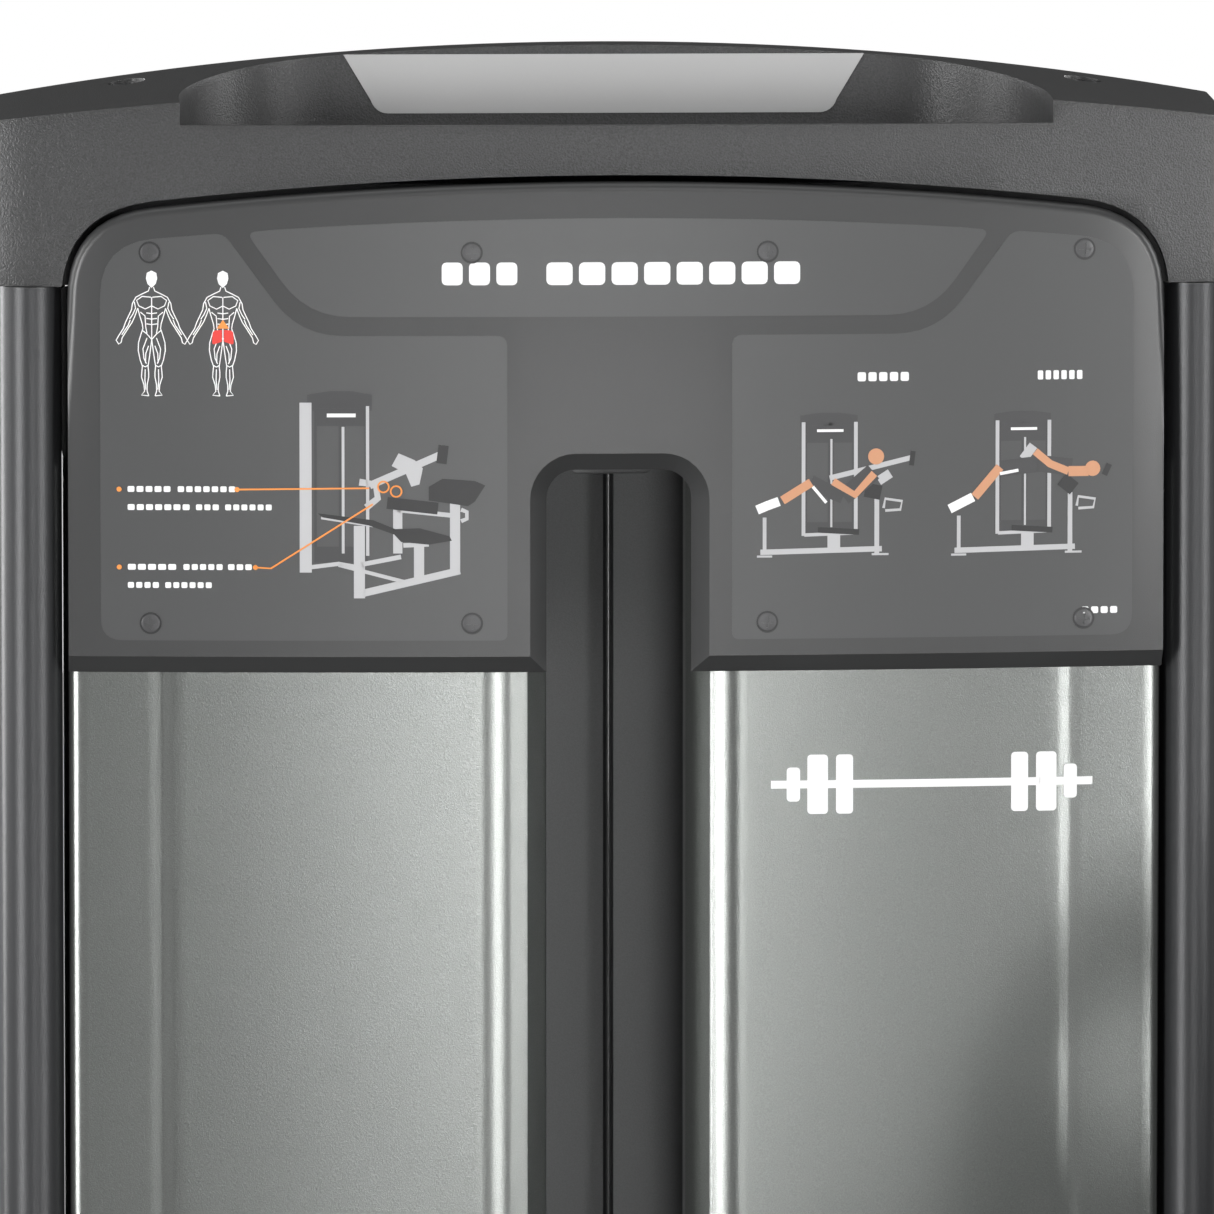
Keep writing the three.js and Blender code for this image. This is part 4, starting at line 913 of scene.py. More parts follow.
side_parts["light"] += [
    ([(0.315, 0.18), (0.315, 0.85)], 0.022),
    ([(0.625, 0.19), (0.625, 0.85)], 0.022),
    ([(0.32, 0.185), (0.62, 0.195)], 0.020),
    ([(0.06, 0.085), (0.78, 0.100)], 0.032),
    ([(0.085, 0.07), (0.085, 0.29)], 0.022),
    ([(0.04, 0.060), (0.13, 0.060)], 0.012),
    ([(0.72, 0.068), (0.82, 0.068)], 0.012),
    ([(0.75, 0.07), (0.75, 0.42)], 0.028),
    ([(0.495, 0.10), (0.495, 0.19)], 0.075),
    ([(0.79, 0.34), (0.80, 0.395), (0.90, 0.38), (0.89, 0.33), (0.80, 0.325)], 0.016),
]
side_parts["black"] = [([(0.40, 0.215), (0.645, 0.200)], 0.034)]
start_parts = {
    "light": [([(0.47, 0.52), (0.95, 0.635)], 0.030), ([(0.76, 0.50), (0.83, 0.545)], 0.055)],
    "black": [([(0.955, 0.59), (0.965, 0.675)], 0.030), ([(0.68, 0.45), (0.775, 0.43)], 0.085)],
    "tan": [
        ([(0.19, 0.39), (0.36, 0.495)], 0.052),
        ([(0.735, 0.545), (0.62, 0.42), (0.49, 0.50)], 0.045),
        (arc(0.745, 0.645, 0.048, 0, 340, 16), 0),
    ],
    "wear": [
        ([(0.355, 0.50), (0.43, 0.46), (0.55, 0.41)], 0.085),
        ([(0.55, 0.41), (0.63, 0.47), (0.73, 0.555)], 0.105),
    ],
    "white": [
        ([(0.04, 0.335), (0.10, 0.36), (0.17, 0.385)], 0.055),
        ([(0.37, 0.47), (0.45, 0.375)], 0.018),
    ],
}
finish_parts = {
    "light": [([(0.47, 0.62), (0.53, 0.70)], 0.055)],
    "black": [([(0.955, 0.52), (0.985, 0.585)], 0.034), ([(0.70, 0.50), (0.775, 0.44)], 0.085)],
    "tan": [
        ([(0.18, 0.40), (0.33, 0.575)], 0.052),
        ([(0.74, 0.545), (0.63, 0.59), (0.54, 0.665)], 0.045),
        ([(0.74, 0.545), (0.86, 0.545)], 0.060),
        (arc(0.885, 0.56, 0.046, 0, 340, 16), 0),
    ],
    "wear": [
        ([(0.33, 0.565), (0.56, 0.59)], 0.095),
        ([(0.55, 0.595), (0.76, 0.570)], 0.100),
    ],
    "white": [
        ([(0.03, 0.33), (0.09, 0.36), (0.17, 0.40)], 0.055),
        ([(0.33, 0.535), (0.44, 0.555)], 0.018),
    ],
}
DRAWING_INKS = {
    "dark": (print_dark, 0.0003),
    "mid": (print_grey, 0.0004),
    "panel": (print_dark, 0.0005),
    "wear": (print_dark, 0.0007),
    "light": (print_light, 0.0005),
    "black": (black_print_and_shadow, 0.0006),
    "tan": (print_tan, 0.0008),
    "white": (print_white, 0.0009),
}


def drawing(name, left, base, scale, *layers):
    for ink, (material, lift) in DRAWING_INKS.items():
        outlines = []
        for layer in layers:
            outlines += laid(left, base, scale, layer.get(ink, []))
        if outlines:
            prints(f"{name}_{ink}", outlines, material, lift)


drawing("main_drawing", -0.1815, 1.2010, 0.1270, main_parts)
drawing("start_drawing", 0.0720, 1.2245, 0.0937, side_parts, start_parts)
drawing("finish_drawing", 0.1800, 1.2245, 0.0937, side_parts, finish_parts)

callouts = [
    stroke([(-0.2105, 1.2680), (-0.138, 1.2688)], 0.0009),
    stroke([(-0.2005, 1.2250), (-0.192, 1.2245), (-0.136, 1.2600)], 0.0009),
]
dots = [(-0.2752, 1.2680), (-0.2105, 1.2680), (-0.2752, 1.2250), (-0.2005, 1.2250)]
rings = [(-0.1302, 1.2695), (-0.1232, 1.2670)]
prints(
    "callouts",
    callouts
    + [arc(x, z, 0.0014, 0, 345, 12) for x, z in dots]
    + hollowed([arc(x, z, 0.0030, 0, 345, 20) for x, z in rings], 0.0009),
    print_orange,
    0.0010,
)


# ---- Panel backing ----
# A thin black sheet behind the panel, with a black web at each side, shuts the gap between the panel's
# edge and the uprights. Its black is painted shade, standing for the shadow in that gap.
# Painted shade: flat black for the sheet and webs behind the panel's edges.
painted_shade_black = finish("painted_shade_black", (0.02, 0.02, 0.021), 0.6, 1200, 0.3, 0.2)
lower_outline = rounded(-0.3058, 0.3058, 1.2840, 1.3780, 0.002)
lower_backing = prism("panel_backing", lower_outline, 0.020, 0.022, "y")
upper_backing = prism("upper", rounded(-0.3320, 0.3320, 1.3788, 1.4340, 0.002), 0.018, 0.020, "y")
webs = [
    prism("web", rounded(low, high, 0.0225, 0.138, 0.0005), 1.286, 1.378)
    for low, high in ((-0.3056, -0.3036), (0.3036, 0.3056))
]
backing = joined("panel_backing", [lower_backing, upper_backing, *webs])
smooth(backing)
settle(in_tower(backing), "frame", "placard", painted_shade_black)


# ---- Panel screws ----
# Eight countersunk machine screws with a cross recess. Each sits in a thin black ring that is painted
# shadow, standing for the shade round its head.
screw_places = [(x, z) for z in (1.3985, 1.1940) for x in (-0.258, -0.0815, 0.0815, 0.258)]
screw_steel = finish("screw_steel", (0.075, 0.075, 0.077), 0.36, 1800, 0.2, 0.1, 0.3)
heads, shadows = [], []
for i, (x, z) in enumerate(screw_places):
    outwards = Vector((2 * bow_depth * x / half_width**2, -1, 0)).normalized()
    heads.append(screw_head(f"panel_screw_{i}", (x, bow(x) - 0.0002, z), outwards))
    # Painted shadow: a thin black ring laid round each screw head.
    ring = [(0.0050, 0.0), (0.0061, 0.0), (0.0061, 0.0006), (0.0050, 0.0006)]
    shadows.append(turned(f"screw_shadow_ring_{i}", ring, (x, bow(x), z), outwards, 32))
settle(in_tower(joined("panel_screws", heads)), "frame", "placard", screw_steel)
settle(in_tower(joined("screw_shadow_rings", shadows)), "frame", "placard", black_print_and_shadow)


# ---- Shields ----
# Two bowed covers vacuum formed from silver sheet with a fine metallic sparkle. Beside the slot
# each rolls back to a narrow lip, and near the upright it has a soft crease.
shield_low, shield_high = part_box("left_shield")
shield_inset = 0.011
sheet = 0.003


LEFT_ROLL = [(0.078, 0), (0.072, 11), (0.0665, 20), (0.062, 11), (0.058, 1), (0.0505, 1)]
LEFT_ROLL += [(0.050, 58), (0.0395, 62)]
RIGHT_ROLL = [(0.070, 0), (0.064, 14), (0.058, 26), (0.0525, 34), (0.0515, 18), (0.051, 44)]
RIGHT_ROLL += [(0.045, 52), (0.0395, 62)]


def shield_line(roll):
    """The outer surface in plan, from the slot's lip to the upright. The roll back beside the
    slot is given as places and the tilt of the sheet there, in degrees."""

    def face(x, depth=0.0):
        return (x, bow(x) + shield_inset + depth)

    curve, depth = [], 0.0
    for (x0, tilt0), (x1, tilt1) in zip(roll, roll[1:]):
        for i in range(4):
            tilt = math.radians(tilt0 + (tilt1 - tilt0) * (i + 0.5) / 4)
            depth += math.tan(tilt) * (x0 - x1) / 4
            curve.append(face(x0 + (x1 - x0) * (i + 1) / 4, depth))
    line = [(0.0385, 0.027), face(0.0385, depth + 0.004), face(0.0388, depth + 0.0012)]
    line += curve[::-1]
    line += [face(x) for x in steps_between(roll[0][0] + 0.002, 0.244, 26)]
    for x, dip in ((0.2475, 0.0002), (0.2505, 0.0006), (0.2530, 0.0007), (0.2560, 0.0005)):
        line.append(face(x, dip))
    line += [face(x, 0.0005) for x in steps_between(0.260, 0.297, 8)]
    line += [face(0.2998, 0.0010), face(0.3018, 0.0024), face(0.3027, 0.0050), (0.3028, 0.042)]
    return line


def shield(name, side, roll):
    outer = shield_line(roll)
    inner = []
    for i, point in enumerate(outer):
        before = Vector(outer[max(i - 1, 0)])
        after = Vector(outer[min(i + 1, len(outer) - 1)])
        along = (after - before).normalized()
        inner.append(tuple(Vector(point) + sheet * Vector((-along.y, along.x))))
    outline = [(side * x, y) for x, y in outer + inner[::-1]]
    piece = prism(name, outline, shield_low.z, shield_high.z)
    smooth(piece, 50)
    return in_tower(piece)


settle(shield("left_shield", -1, LEFT_ROLL), "frame", "shield", silver_shell, "left_shield")
settle(shield("right_shield", 1, RIGHT_ROLL), "frame", "shield", silver_shell, "right_shield")


# ---- Shield emblem ----
# A plain white pictogram of a loaded bar, cut from film and stuck on the right shield.
def on_shield(piece, lift, material):
    low, high = reach_in_x(piece)
    slices(piece, 0, steps_between(low, high, 12)[1:-1])
    for vertex in piece.data.vertices:
        vertex.co.y += bow(vertex.co.x) + shield_inset - lift
    return settle(in_tower(piece), "frame", "shield", material)


emblem_x, emblem_z, emblem_half = 0.1745, 1.1025, 0.090
emblem = [block(-emblem_half, emblem_half, -0.0022, 0.0022)]
DISCS = ((0.064, 0.0115, 0.0165), (0.049, 0.0095, 0.0165), (0.0775, 0.0075, 0.0095))
for side in (-1, 1):
    for offset, width, height in DISCS:
        middle = side * offset
        emblem.append(rounded(middle - width / 2, middle + width / 2, -height, height, 0.002, 3))
emblem_parts = [
    flat(f"emblem_{i}", [(x + emblem_x, z + emblem_z) for x, z in outline])
    for i, outline in enumerate(emblem)
]
on_shield(joined("shield_emblem", emblem_parts), 0.0003, print_white)


# ---- Uprights ----
# Flat oval steel tubes in dark charcoal powder coat, standing on the base and under the cap.
upright_width = 0.034


def upright(name, side):
    low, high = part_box(name)
    x, radius = side * (half_width - upright_width / 2), upright_width / 2
    outline = arc(x, radius, radius, 180, 360, 20)
    outline += arc(x, tower_depth - radius, radius, 0, 180, 20)
    piece = prism(name, outline, low.z, high.z)
    smooth(piece, 30)
    return in_tower(piece)


settle(upright("left_upright", -1), "frame", "frame_paint", charcoal_paint, "left_upright")
settle(upright("right_upright", 1), "frame", "frame_paint", charcoal_paint, "right_upright")


# ---- Rear shield and cable guide ----
# A flat textured sheet closes the tower's back. A small rounded block under the top beam guides
# the cable where it comes up behind the panel.
rear_plastic = finish("rear_plastic", (0.25, 0.251, 0.253), 0.6, 1300, 0.3, 0.3, mottle=0.06)


def rear_shield():
    low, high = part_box("rear_shield")
    outline = rounded(low.x, high.x, low.z, high.z, 0.004)
    sheet_piece = prism("rear_shield", outline, low.y, high.y, "y")
    ease(sheet_piece, 0.0008, 2)
    ribs = [sheet_piece]
    for x in steps_between(low.x + 0.06, high.x - 0.06, 6):
        outline = rounded(x - 0.004, x + 0.004, low.z + 0.05, high.z - 0.05, 0.003)
        rib = prism("rib", outline, high.y - 0.0005, high.y + 0.0025, "y")
        ease(rib, 0.0012, 2)
        ribs.append(rib)
    return joined("rear_shield", ribs)


settle(rear_shield(), "frame", "frame_paint", rear_plastic, "rear_shield")

guide = prism("cable_guide", rounded(-0.0235, 0.0235, 1.2705, 1.2895, 0.005), 0.050, 0.092, "y")
carve(guide, prism("guide_hole", arc(0, 0.075, 0.0045, 0, 345, 23), 1.25, 1.30))
ease(guide, 0.0012, 3)
guide_plastic = finish("guide_plastic", (0.16, 0.16, 0.162), 0.45, 1300, 0.2, 0.15)
settle(in_tower(guide), "frame", "frame_paint", guide_plastic)


# ---- Tower base and top beam ----
# The base is a wide flat oval tube on rubber feet, and a square beam joins the uprights behind
# the panel. Their edges are slightly eased, as on drawn tube with a coat of powder paint.
def copied(node, name):
    """A merged copy of a CAD node's mesh."""
    piece = bpy.data.objects.new(name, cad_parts[node].data.copy())
    bpy.context.scene.collection.objects.link(piece)
    heal(piece)
    return piece


def refined(node, body, slot, material, width=0.0012, segments=2, angle=35):
    """A merged copy of a CAD node with its sharp edges eased, in the node's place."""
    piece = copied(node, f"{node}_finished")
    edit_all()
    bpy.ops.mesh.dissolve_limited(angle_limit=math.radians(1.0))
    leave_edit()
    ease(piece, width, segments, angle)
    return settle(piece, body, slot, material, node)


def rubber_foot(name, centre, radius):
    """A turned rubber boot with a ribbed wall, round a levelling foot."""
    wall = [(radius - 0.003, 0.0), (radius, 0.0015)]
    for z in (0.0035, 0.006, 0.0085):
        wall += [(radius, z - 0.0008), (radius - 0.0008, z), (radius, z + 0.0008)]
    wall += [(radius, 0.0102), (radius - 0.0014, 0.0116)]
    profile = [(0.0, 0.0), *wall, (0.0, 0.0116)]
    return turned(name, profile, centre, (0, 0, 1), 40)


refined("tower_base", "frame", "frame_paint", charcoal_paint, 0.001)
refined("top_beam", "frame", "frame_paint", charcoal_paint, 0.0025, 3)
foot_radius = 0.0292
base_feet = [
    rubber_foot(f"base_foot_{i}", (tower_x + x, front_y + y, 0), foot_radius)
    for i, (x, y) in enumerate(
        (x, y) for x in (-half_width + 0.0285, half_width - 0.0285) for y in (0.0285, 0.1215)
    )
]
settle(joined("base_feet", base_feet), "frame", "rubber", black_rubber)


# ---- Weight stack ----
# Cast iron plates with rounded edges and a dark hammered paint, on two bright ground rods.
# The top weight has two nylon bushes, and a drilled selector rod hangs below the cable.
def plate_stack(name, body):
    """Separate plates in the node's height, each with eased edges and three holes."""
    low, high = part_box(name)
    count = max(round((high.z - low.z) / stack_pitch), 1)
    plates = []
    for i in range(count):
        base = low.z + i * (high.z - low.z) / count
        top = base + (high.z - low.z) / count - 0.0006
        plate = prism(f"{name}_{i}", rounded(low.x, high.x, low.y, high.y, 0.006), base, top)
        ease(plate, 0.0022, 3)
        plates.append(plate)
    for hole_x, radius in ((rod_places[0], 0.0115), (rod_places[1], 0.0115), (tower_x, 0.0125)):
        around = arc(hole_x, rod_y, radius, 0, 345, 23)
        hole = prism("hole", around, low.z - 0.01, high.z + 0.01)
        for plate in plates:
            drill = hole.copy()
            drill.data = hole.data.copy()
            bpy.context.scene.collection.objects.link(drill)
            carve(plate, drill)
        bpy.data.objects.remove(hole)
    piece = joined(name, plates)
    smooth(piece)
    return settle(piece, body, "weights", black_iron, name)


rod_low, rod_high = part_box("left_guide_rod")
rod_spacing = tower_x - (rod_low.x + rod_high.x) / 2
rod_places = (tower_x - rod_spacing, tower_x + rod_spacing)
rod_y = (rod_low.y + rod_high.y) / 2
stack_pitch = 0.0243
PLATE_BODIES = {
    "lower_plates": "frame",
    "resting_plate_1": "frame",
    "resting_plate_2": "frame",
    "lifted_plate_1": "stack",
    "lifted_plate_2": "stack",
}
for name, body in PLATE_BODIES.items():
    plate_stack(name, body)
refined("top_weight", "stack", "weights", black_iron, 0.0015, 3)
refined("stack_buffer", "frame", "rubber", black_rubber, 0.003, 3)


def steel_rod(node, body, slot, material, chamfer_size=0.0015):
    """A ground round rod with chamfered ends."""
    low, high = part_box(node)
    radius = (high.x - low.x) / 2
    profile = [(0, low.z), (radius - chamfer_size, low.z), (radius, low.z + chamfer_size)]
    profile += [(radius, high.z - chamfer_size), (radius - chamfer_size, high.z), (0, high.z)]
    centre = ((low.x + high.x) / 2, (low.y + high.y) / 2, 0)
    rod = turned(f"{node}_round", profile, centre, (0, 0, 1), 40)
    return settle(rod, body, slot, material, node)


steel_rod("left_guide_rod", "frame", "chrome", bright_steel)
steel_rod("right_guide_rod", "frame", "chrome", bright_steel)
refined("selector_rod", "stack", "chrome", zinc_steel, 0.0006)


def selector_pin():
    """A steel pin with a round orange head and a chamfered end."""
    low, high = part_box("selector_pin")
    radius = (high.x - low.x) / 2
    centre = ((low.x + high.x) / 2, low.y, (low.z + high.z) / 2)
    head = [(0, 0.0), (radius * 0.7, 0.0)]
    head += arc(radius * 0.7, radius * 0.3, radius * 0.3, -90, 0, 6)
    head += [(radius, 0.022), (radius * 0.86, 0.026), (0, 0.026)]
    knob = turned("pin_head", head, centre, (0, 1, 0), 40)
    shank = [(0, 0.0261), (0.0045, 0.0261), (0.0045, high.y - low.y - 0.002)]
    shank += [(0.0032, high.y - low.y), (0, high.y - low.y)]
    pin = turned("pin_shank", shank, centre, (0, 1, 0), 28)
    settle(pin, "selector_pin", "chrome", bright_steel)
    settle(knob, "selector_pin", "orange", orange_plastic, "selector_pin")


selector_pin()


# ---- Cables and pulleys ----
# A black nylon covered cable runs over moulded nylon pulleys. Each pulley has a rim with a round
# groove, a thin web, a hub with a bearing, and turns between two painted cheeks on a bolt.
bearing_steel = finish("bearing_steel", (0.5, 0.5, 0.51), 0.28, 1800, 0.1, 0.08, 1.0)


def pulley(node, axis):
    low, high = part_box(node)
    centre = (low + high) / 2
    spread = high - low
    across = "xyz".index(axis)
    half = spread[across] / 2
    rim = max(spread) / 2
    direction = [0, 0, 0]
    direction[across] = 1
    groove = 0.0056
    bore = 0.0095
    wheel = [(bore, -half), (0.017, -half), (0.017, -half * 0.45), (rim - 0.014, -half * 0.45)]
    wheel += [(rim - 0.012, -half), (rim - 0.0012, -half), (rim, -half + 0.0012)]
    wheel += [(rim, -groove)] + arc(rim, 0, groove, -95, -265, 8)[1:-1] + [(rim, groove)]
    wheel += [(rim, half - 0.0012), (rim - 0.0012, half), (rim - 0.012, half)]
    wheel += [(rim - 0.014, half * 0.45), (0.017, half * 0.45), (0.017, half), (bore, half)]
    wheel_piece = turned(f"{node}_wheel", wheel, centre, direction, 56)
    end = half - 0.0008
    race = [(0.0064, -end), (bore, -end), (bore, end), (0.0064, end)]
    race_piece = turned(f"{node}_bearing", race, centre, direction, 40)
    settle(wheel_piece, node, "pulley", black_plastic, node)
    settle(race_piece, node, "chrome", bearing_steel)


PULLEY_AXES = {
    "top_inner_pulley": "y",
    "top_outer_pulley": "y",
    "base_corner_pulley": "x",
    "turning_pulley": "z",
    "riser_pulley": "y",
}
for name, axis in PULLEY_AXES.items():
    pulley(name, axis)
    refined(name.replace("pulley", "bracket"), "frame", "frame_paint", charcoal_paint, 0.0012)

for name, body in (("long_cable", "frame"), ("cam_cable", "cam")):
    sleeve = copied(name, f"{name}_sleeve")
    smooth(sleeve, 60)
    settle(sleeve, body, "cable", cable_nylon, name)

lift_low, lift_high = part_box("lift_cable")
lift_radius = (lift_high.x - lift_low.x) / 2
lift_centre = ((lift_low.x + lift_high.x) / 2, (lift_low.y + lift_high.y) / 2, 0)
lift_profile = [(0, lift_low.z), (lift_radius, lift_low.z)]
lift_profile += [(lift_radius, lift_high.z), (0, lift_high.z)]
lift = turned("lift_cable_sleeve", lift_profile, lift_centre, (0, 0, 1), 20)
slices(lift, 2, steps_between(lift_low.z, lift_high.z, 24)[1:-1])
smooth(lift, 50)
settle(lift, "frame", "cable", cable_nylon, "lift_cable")
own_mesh(lift)


# ---- Bench frame ----
# Square and oblong steel tubes, mitred and welded, with rounded corners, then powder coated in
# charcoal. Open ends are shut with black plastic plugs, and the rails stand on rubber feet.
BENCH_TUBES = ("spine_beam", "main_rail", "rear_rail", "pivot_post", "head_post", "crossbar")
for name in BENCH_TUBES:
    refined(name, "frame", "frame_paint", charcoal_paint, 0.004, 4)
for name in ("tower_brace", "foot_post", "seat_post"):
    refined(name, "frame", "frame_paint", charcoal_paint, 0.002, 3)

plug_plastic = finish("plug_plastic", (0.03, 0.03, 0.031), 0.55, 1100, 0.35, 0.35)


FLAT_AXES = ((1, 2), (0, 2), (0, 1))  # the two axes across each axis


def end_plug(name, low, high, face, out=0.003):
    """A moulded plug over the end of a tube, on the face named by its axis and sign."""
    axis, sign = face
    spans = [list(pair) for pair in zip(low, high)]
    end = spans[axis][1 if sign > 0 else 0]
    spans[axis] = sorted((end - sign * 0.0005, end + sign * out))
    for i in range(3):
        if i != axis:
            spans[i] = [spans[i][0] + 0.001, spans[i][1] - 0.001]
    a, b = FLAT_AXES[axis]
    plug = prism(name, rounded(*spans[a], *spans[b], 0.006), *spans[axis], "xyz"[axis])
    ease(plug, 0.0015, 3)
    return plug


main_low, main_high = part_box("main_rail")
rail_low_z = 0.012
plugs = [
    end_plug("plug_0", (main_low.x, main_low.y, rail_low_z), main_high, (0, -1)),
    end_plug("plug_1", (main_low.x, main_low.y, rail_low_z), main_high, (0, 1)),
]
rear_low, rear_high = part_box("rear_rail")
plugs.append(end_plug("plug_2", (rear_low.x, rear_low.y, rail_low_z), rear_high, (0, 1)))
for i, name in enumerate(("pivot_post", "head_post")):
    low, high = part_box(name)
    plugs.append(end_plug(f"plug_{i + 3}", (high.x - 0.06, low.y, low.z), high, (2, 1)))
settle(joined("tube_plugs", plugs), "frame", "frame_paint", plug_plastic)

rail_feet = [
    rubber_foot("rail_foot_0", (main_low.x + 0.032, (main_low.y + main_high.y) / 2, 0), 0.0288),
    rubber_foot("rail_foot_1", (main_high.x - 0.032, (main_low.y + main_high.y) / 2, 0), 0.0288),
    rubber_foot("rail_foot_2", (rear_high.x - 0.028, (rear_low.y + rear_high.y) / 2, 0), 0.0242),
]
settle(joined("rail_feet", rail_feet), "frame", "rubber", black_rubber)


# ---- Welds ----
# A rounded bead of weld under the paint where the posts stand on the rails.
def bead(name, low, high, axis, place, size=0.0035):
    """A collar of weld round a tube's section where it meets the face at `place`."""
    a, b = FLAT_AXES[axis]
    outline = rounded(low[a] - size, high[a] + size, low[b] - size, high[b] + size, 0.008)
    start, end = sorted((place, place + (size if size > 0 else -size)))
    collar = prism(name, outline, start, end, "xyz"[axis])
    ease(collar, size * 0.6, 3)
    return collar


beads = []
for i, name in enumerate(("pivot_post", "head_post")):
    low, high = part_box(name)
    square = (Vector((high.x - 0.06, low.y, 0)), Vector((high.x, high.y, 0)))
    beads.append(bead(f"bead_{i}", *square, 2, low.z - 0.0002))
foot_low, foot_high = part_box("foot_post")
foot_square = (Vector((foot_low.x, foot_low.y, 0)), Vector((foot_low.x + 0.06, foot_high.y, 0)))
beads.append(bead("bead_foot", *foot_square, 2, foot_low.z - 0.0002))
settle(joined("weld_beads", beads), "frame", "frame_paint", charcoal_paint)


# ---- Foot plate ----
# A welded steel plate on the foot post with a moulded rubber mat, ribbed across for grip.
refined("foot_plate", "frame", "frame_paint", charcoal_paint, 0.003, 3)
plate_low, plate_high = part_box("foot_plate")
plate_centre = (plate_low + plate_high) / 2
plate_tilt = math.radians(18)
plate_length, plate_width, plate_thickness = 0.353, 0.700, 0.012


def foot_mat():
    """The mat with rows of half-round ribs inside a flat border, made flat and then tilted."""
    half_l, half_w = plate_length / 2 - 0.006, plate_width / 2 - 0.006
    base = prism("foot_mat", rounded(-half_l, half_l, -half_w, half_w, 0.018), 0.0, 0.003)
    ease(base, 0.0012, 2)
    ribs = [base]
    for x in steps_between(-half_l + 0.022, half_l - 0.022, 22):
        outline = rounded(x - 0.0035, x + 0.0035, -half_w + 0.020, half_w - 0.020, 0.0034, 3)
        rib = prism("rib", outline, 0.0025, 0.0055)
        ease(rib, 0.0016, 2)
        ribs.append(rib)
    mat = joined("foot_mat", ribs)
    turn = Matrix.Rotation(plate_tilt, 4, "Y")
    mat.data.transform(Matrix.Translation((0, 0, plate_thickness / 2 - 0.0004)))
    mat.data.transform(Matrix.Translation(plate_centre) @ turn)
    smooth(mat)
    return mat


settle(foot_mat(), "frame", "foot_mat", black_rubber)


# ---- Accessory tray ----
# A moulded plastic box beside the head post, with a rolled rim.
tray_plastic = finish("tray_plastic", (0.038, 0.0385, 0.04), 0.5, 1200, 0.4, 0.35)
refined("accessory_tray", "frame", "tray", tray_plastic, 0.0022, 3)
tray_low, tray_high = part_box("accessory_tray")


def round_tray(margin, radius):
    """The tray's outline, grown by a margin."""
    low, high = tray_low, tray_high
    return rounded(low.x - margin, high.x + margin, low.y - margin, high.y + margin, radius)


tray_top = tray_high.z
tray_rim = prism("tray_rim", round_tray(0.004, 0.012), tray_top - 0.010, tray_top + 0.0015)
carve(tray_rim, prism("rim_inside", round_tray(-0.0045, 0.006), tray_top - 0.03, tray_top + 0.03))
ease(tray_rim, 0.0018, 3)
settle(tray_rim, "frame", "tray", tray_plastic)


# ---- Arm, cam and counterweight ----
# The press arm is an oblong tube on a turned shaft. A cut steel cam leads the cable, a drilled
# plate sets the starting place, and cast plates on the tail balance the arm.
pivot_low, pivot_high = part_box("pivot_shaft")
pivot = (pivot_low + pivot_high) / 2
refined("pivot_shaft", "cam", "chrome", zinc_steel, 0.0015, 3)
refined("cam", "cam", "frame_paint", charcoal_paint, 0.0018, 3)
refined("index_plate", "cam", "frame_paint", silver_shell, 0.0012, 2)
refined("press_arm", "press_arm", "frame_paint", charcoal_paint, 0.004, 4)
refined("counterweight", "press_arm", "weights", black_iron, 0.005, 4)


# ---- Bolts and caps ----
# Zinc plated hexagon bolts on washers hold the counterweight, the shaft's end and the crossbar.
# Countersunk screws hold the foot plate's mat down.
def hex_bolt(name, centre, axis, radius=0.0085):
    """A washer and a chamfered hexagon head, standing on the surface at `centre`."""
    washer_profile = disc_profile(radius * 1.45, 0, 0.0018, 0.0005)
    washer = turned(f"{name}_washer", washer_profile, (0, 0, 0), (0, 0, 1), 32)
    head_profile = [(0, 0.0018), (radius, 0.0018), (radius, 0.0062)]
    head_profile += [(radius * 0.86, 0.0074), (0, 0.0074)]
    head = turned(f"{name}_head", head_profile, (0, 0, 0), (0, 0, 1), 6)
    bolt = joined(name, [washer, head])
    stood(bolt, centre, axis)
    smooth(bolt, 25)
    return bolt


weight_low, weight_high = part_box("counterweight")
weight_middle = (weight_low + weight_high) / 2
arm_bolts = []
for i, side in enumerate((-1, 1)):
    spot = (weight_middle.x + 0.014 * side, weight_low.y, weight_middle.z + 0.050 * side)
    arm_bolts.append(hex_bolt(f"weight_bolt_{i}", spot, (0, -1, 0), 0.011))
settle(joined("weight_bolts", arm_bolts), "press_arm", "chrome", zinc_steel)
shaft_bolt = hex_bolt("shaft_bolt", (pivot.x, pivot_low.y, pivot.z), (0, -1, 0), 0.010)
settle(shaft_bolt, "cam", "chrome", zinc_steel)

head_low, head_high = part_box("head_post")
bar_low, bar_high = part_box("crossbar")
bar_middle = (bar_low.z + bar_high.z) / 2
head_middle = (head_low.x + head_high.x) / 2
frame_bolts = [
    hex_bolt(f"head_bolt_{i}", (head_middle, head_low.y, z), (0, -1, 0))
    for i, z in enumerate((bar_middle - 0.105, bar_middle - 0.205))
]
post_low, post_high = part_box("pivot_post")
for i, z in enumerate((bar_middle, bar_middle - 0.20)):
    spot = (post_high.x, (post_low.y + post_high.y) / 2, z)
    frame_bolts.append(hex_bolt(f"post_bolt_{i}", spot, (1, 0, 0)))
for i, z in enumerate((0.16, 0.24)):
    spot = (foot_low.x, (foot_low.y + foot_high.y) / 2, z)
    frame_bolts.append(hex_bolt(f"foot_bolt_{i}", spot, (-1, 0, 0)))
settle(joined("frame_bolts", frame_bolts), "frame", "chrome", zinc_steel)

mat_screws = []
mat_turn = Matrix.Rotation(plate_tilt, 4, "Y")
for i, (along, across) in enumerate((a, b) for a in (-0.160, 0.160) for b in (-0.325, 0.325)):
    spot = plate_centre + mat_turn @ Vector((along, across, plate_thickness / 2 + 0.0026))
    mat_screws.append(screw_head(f"mat_screw_{i}", spot, mat_turn @ Vector((0, 0, 1)), 0.0065))
settle(joined("mat_screws", mat_screws), "frame", "chrome", zinc_steel)


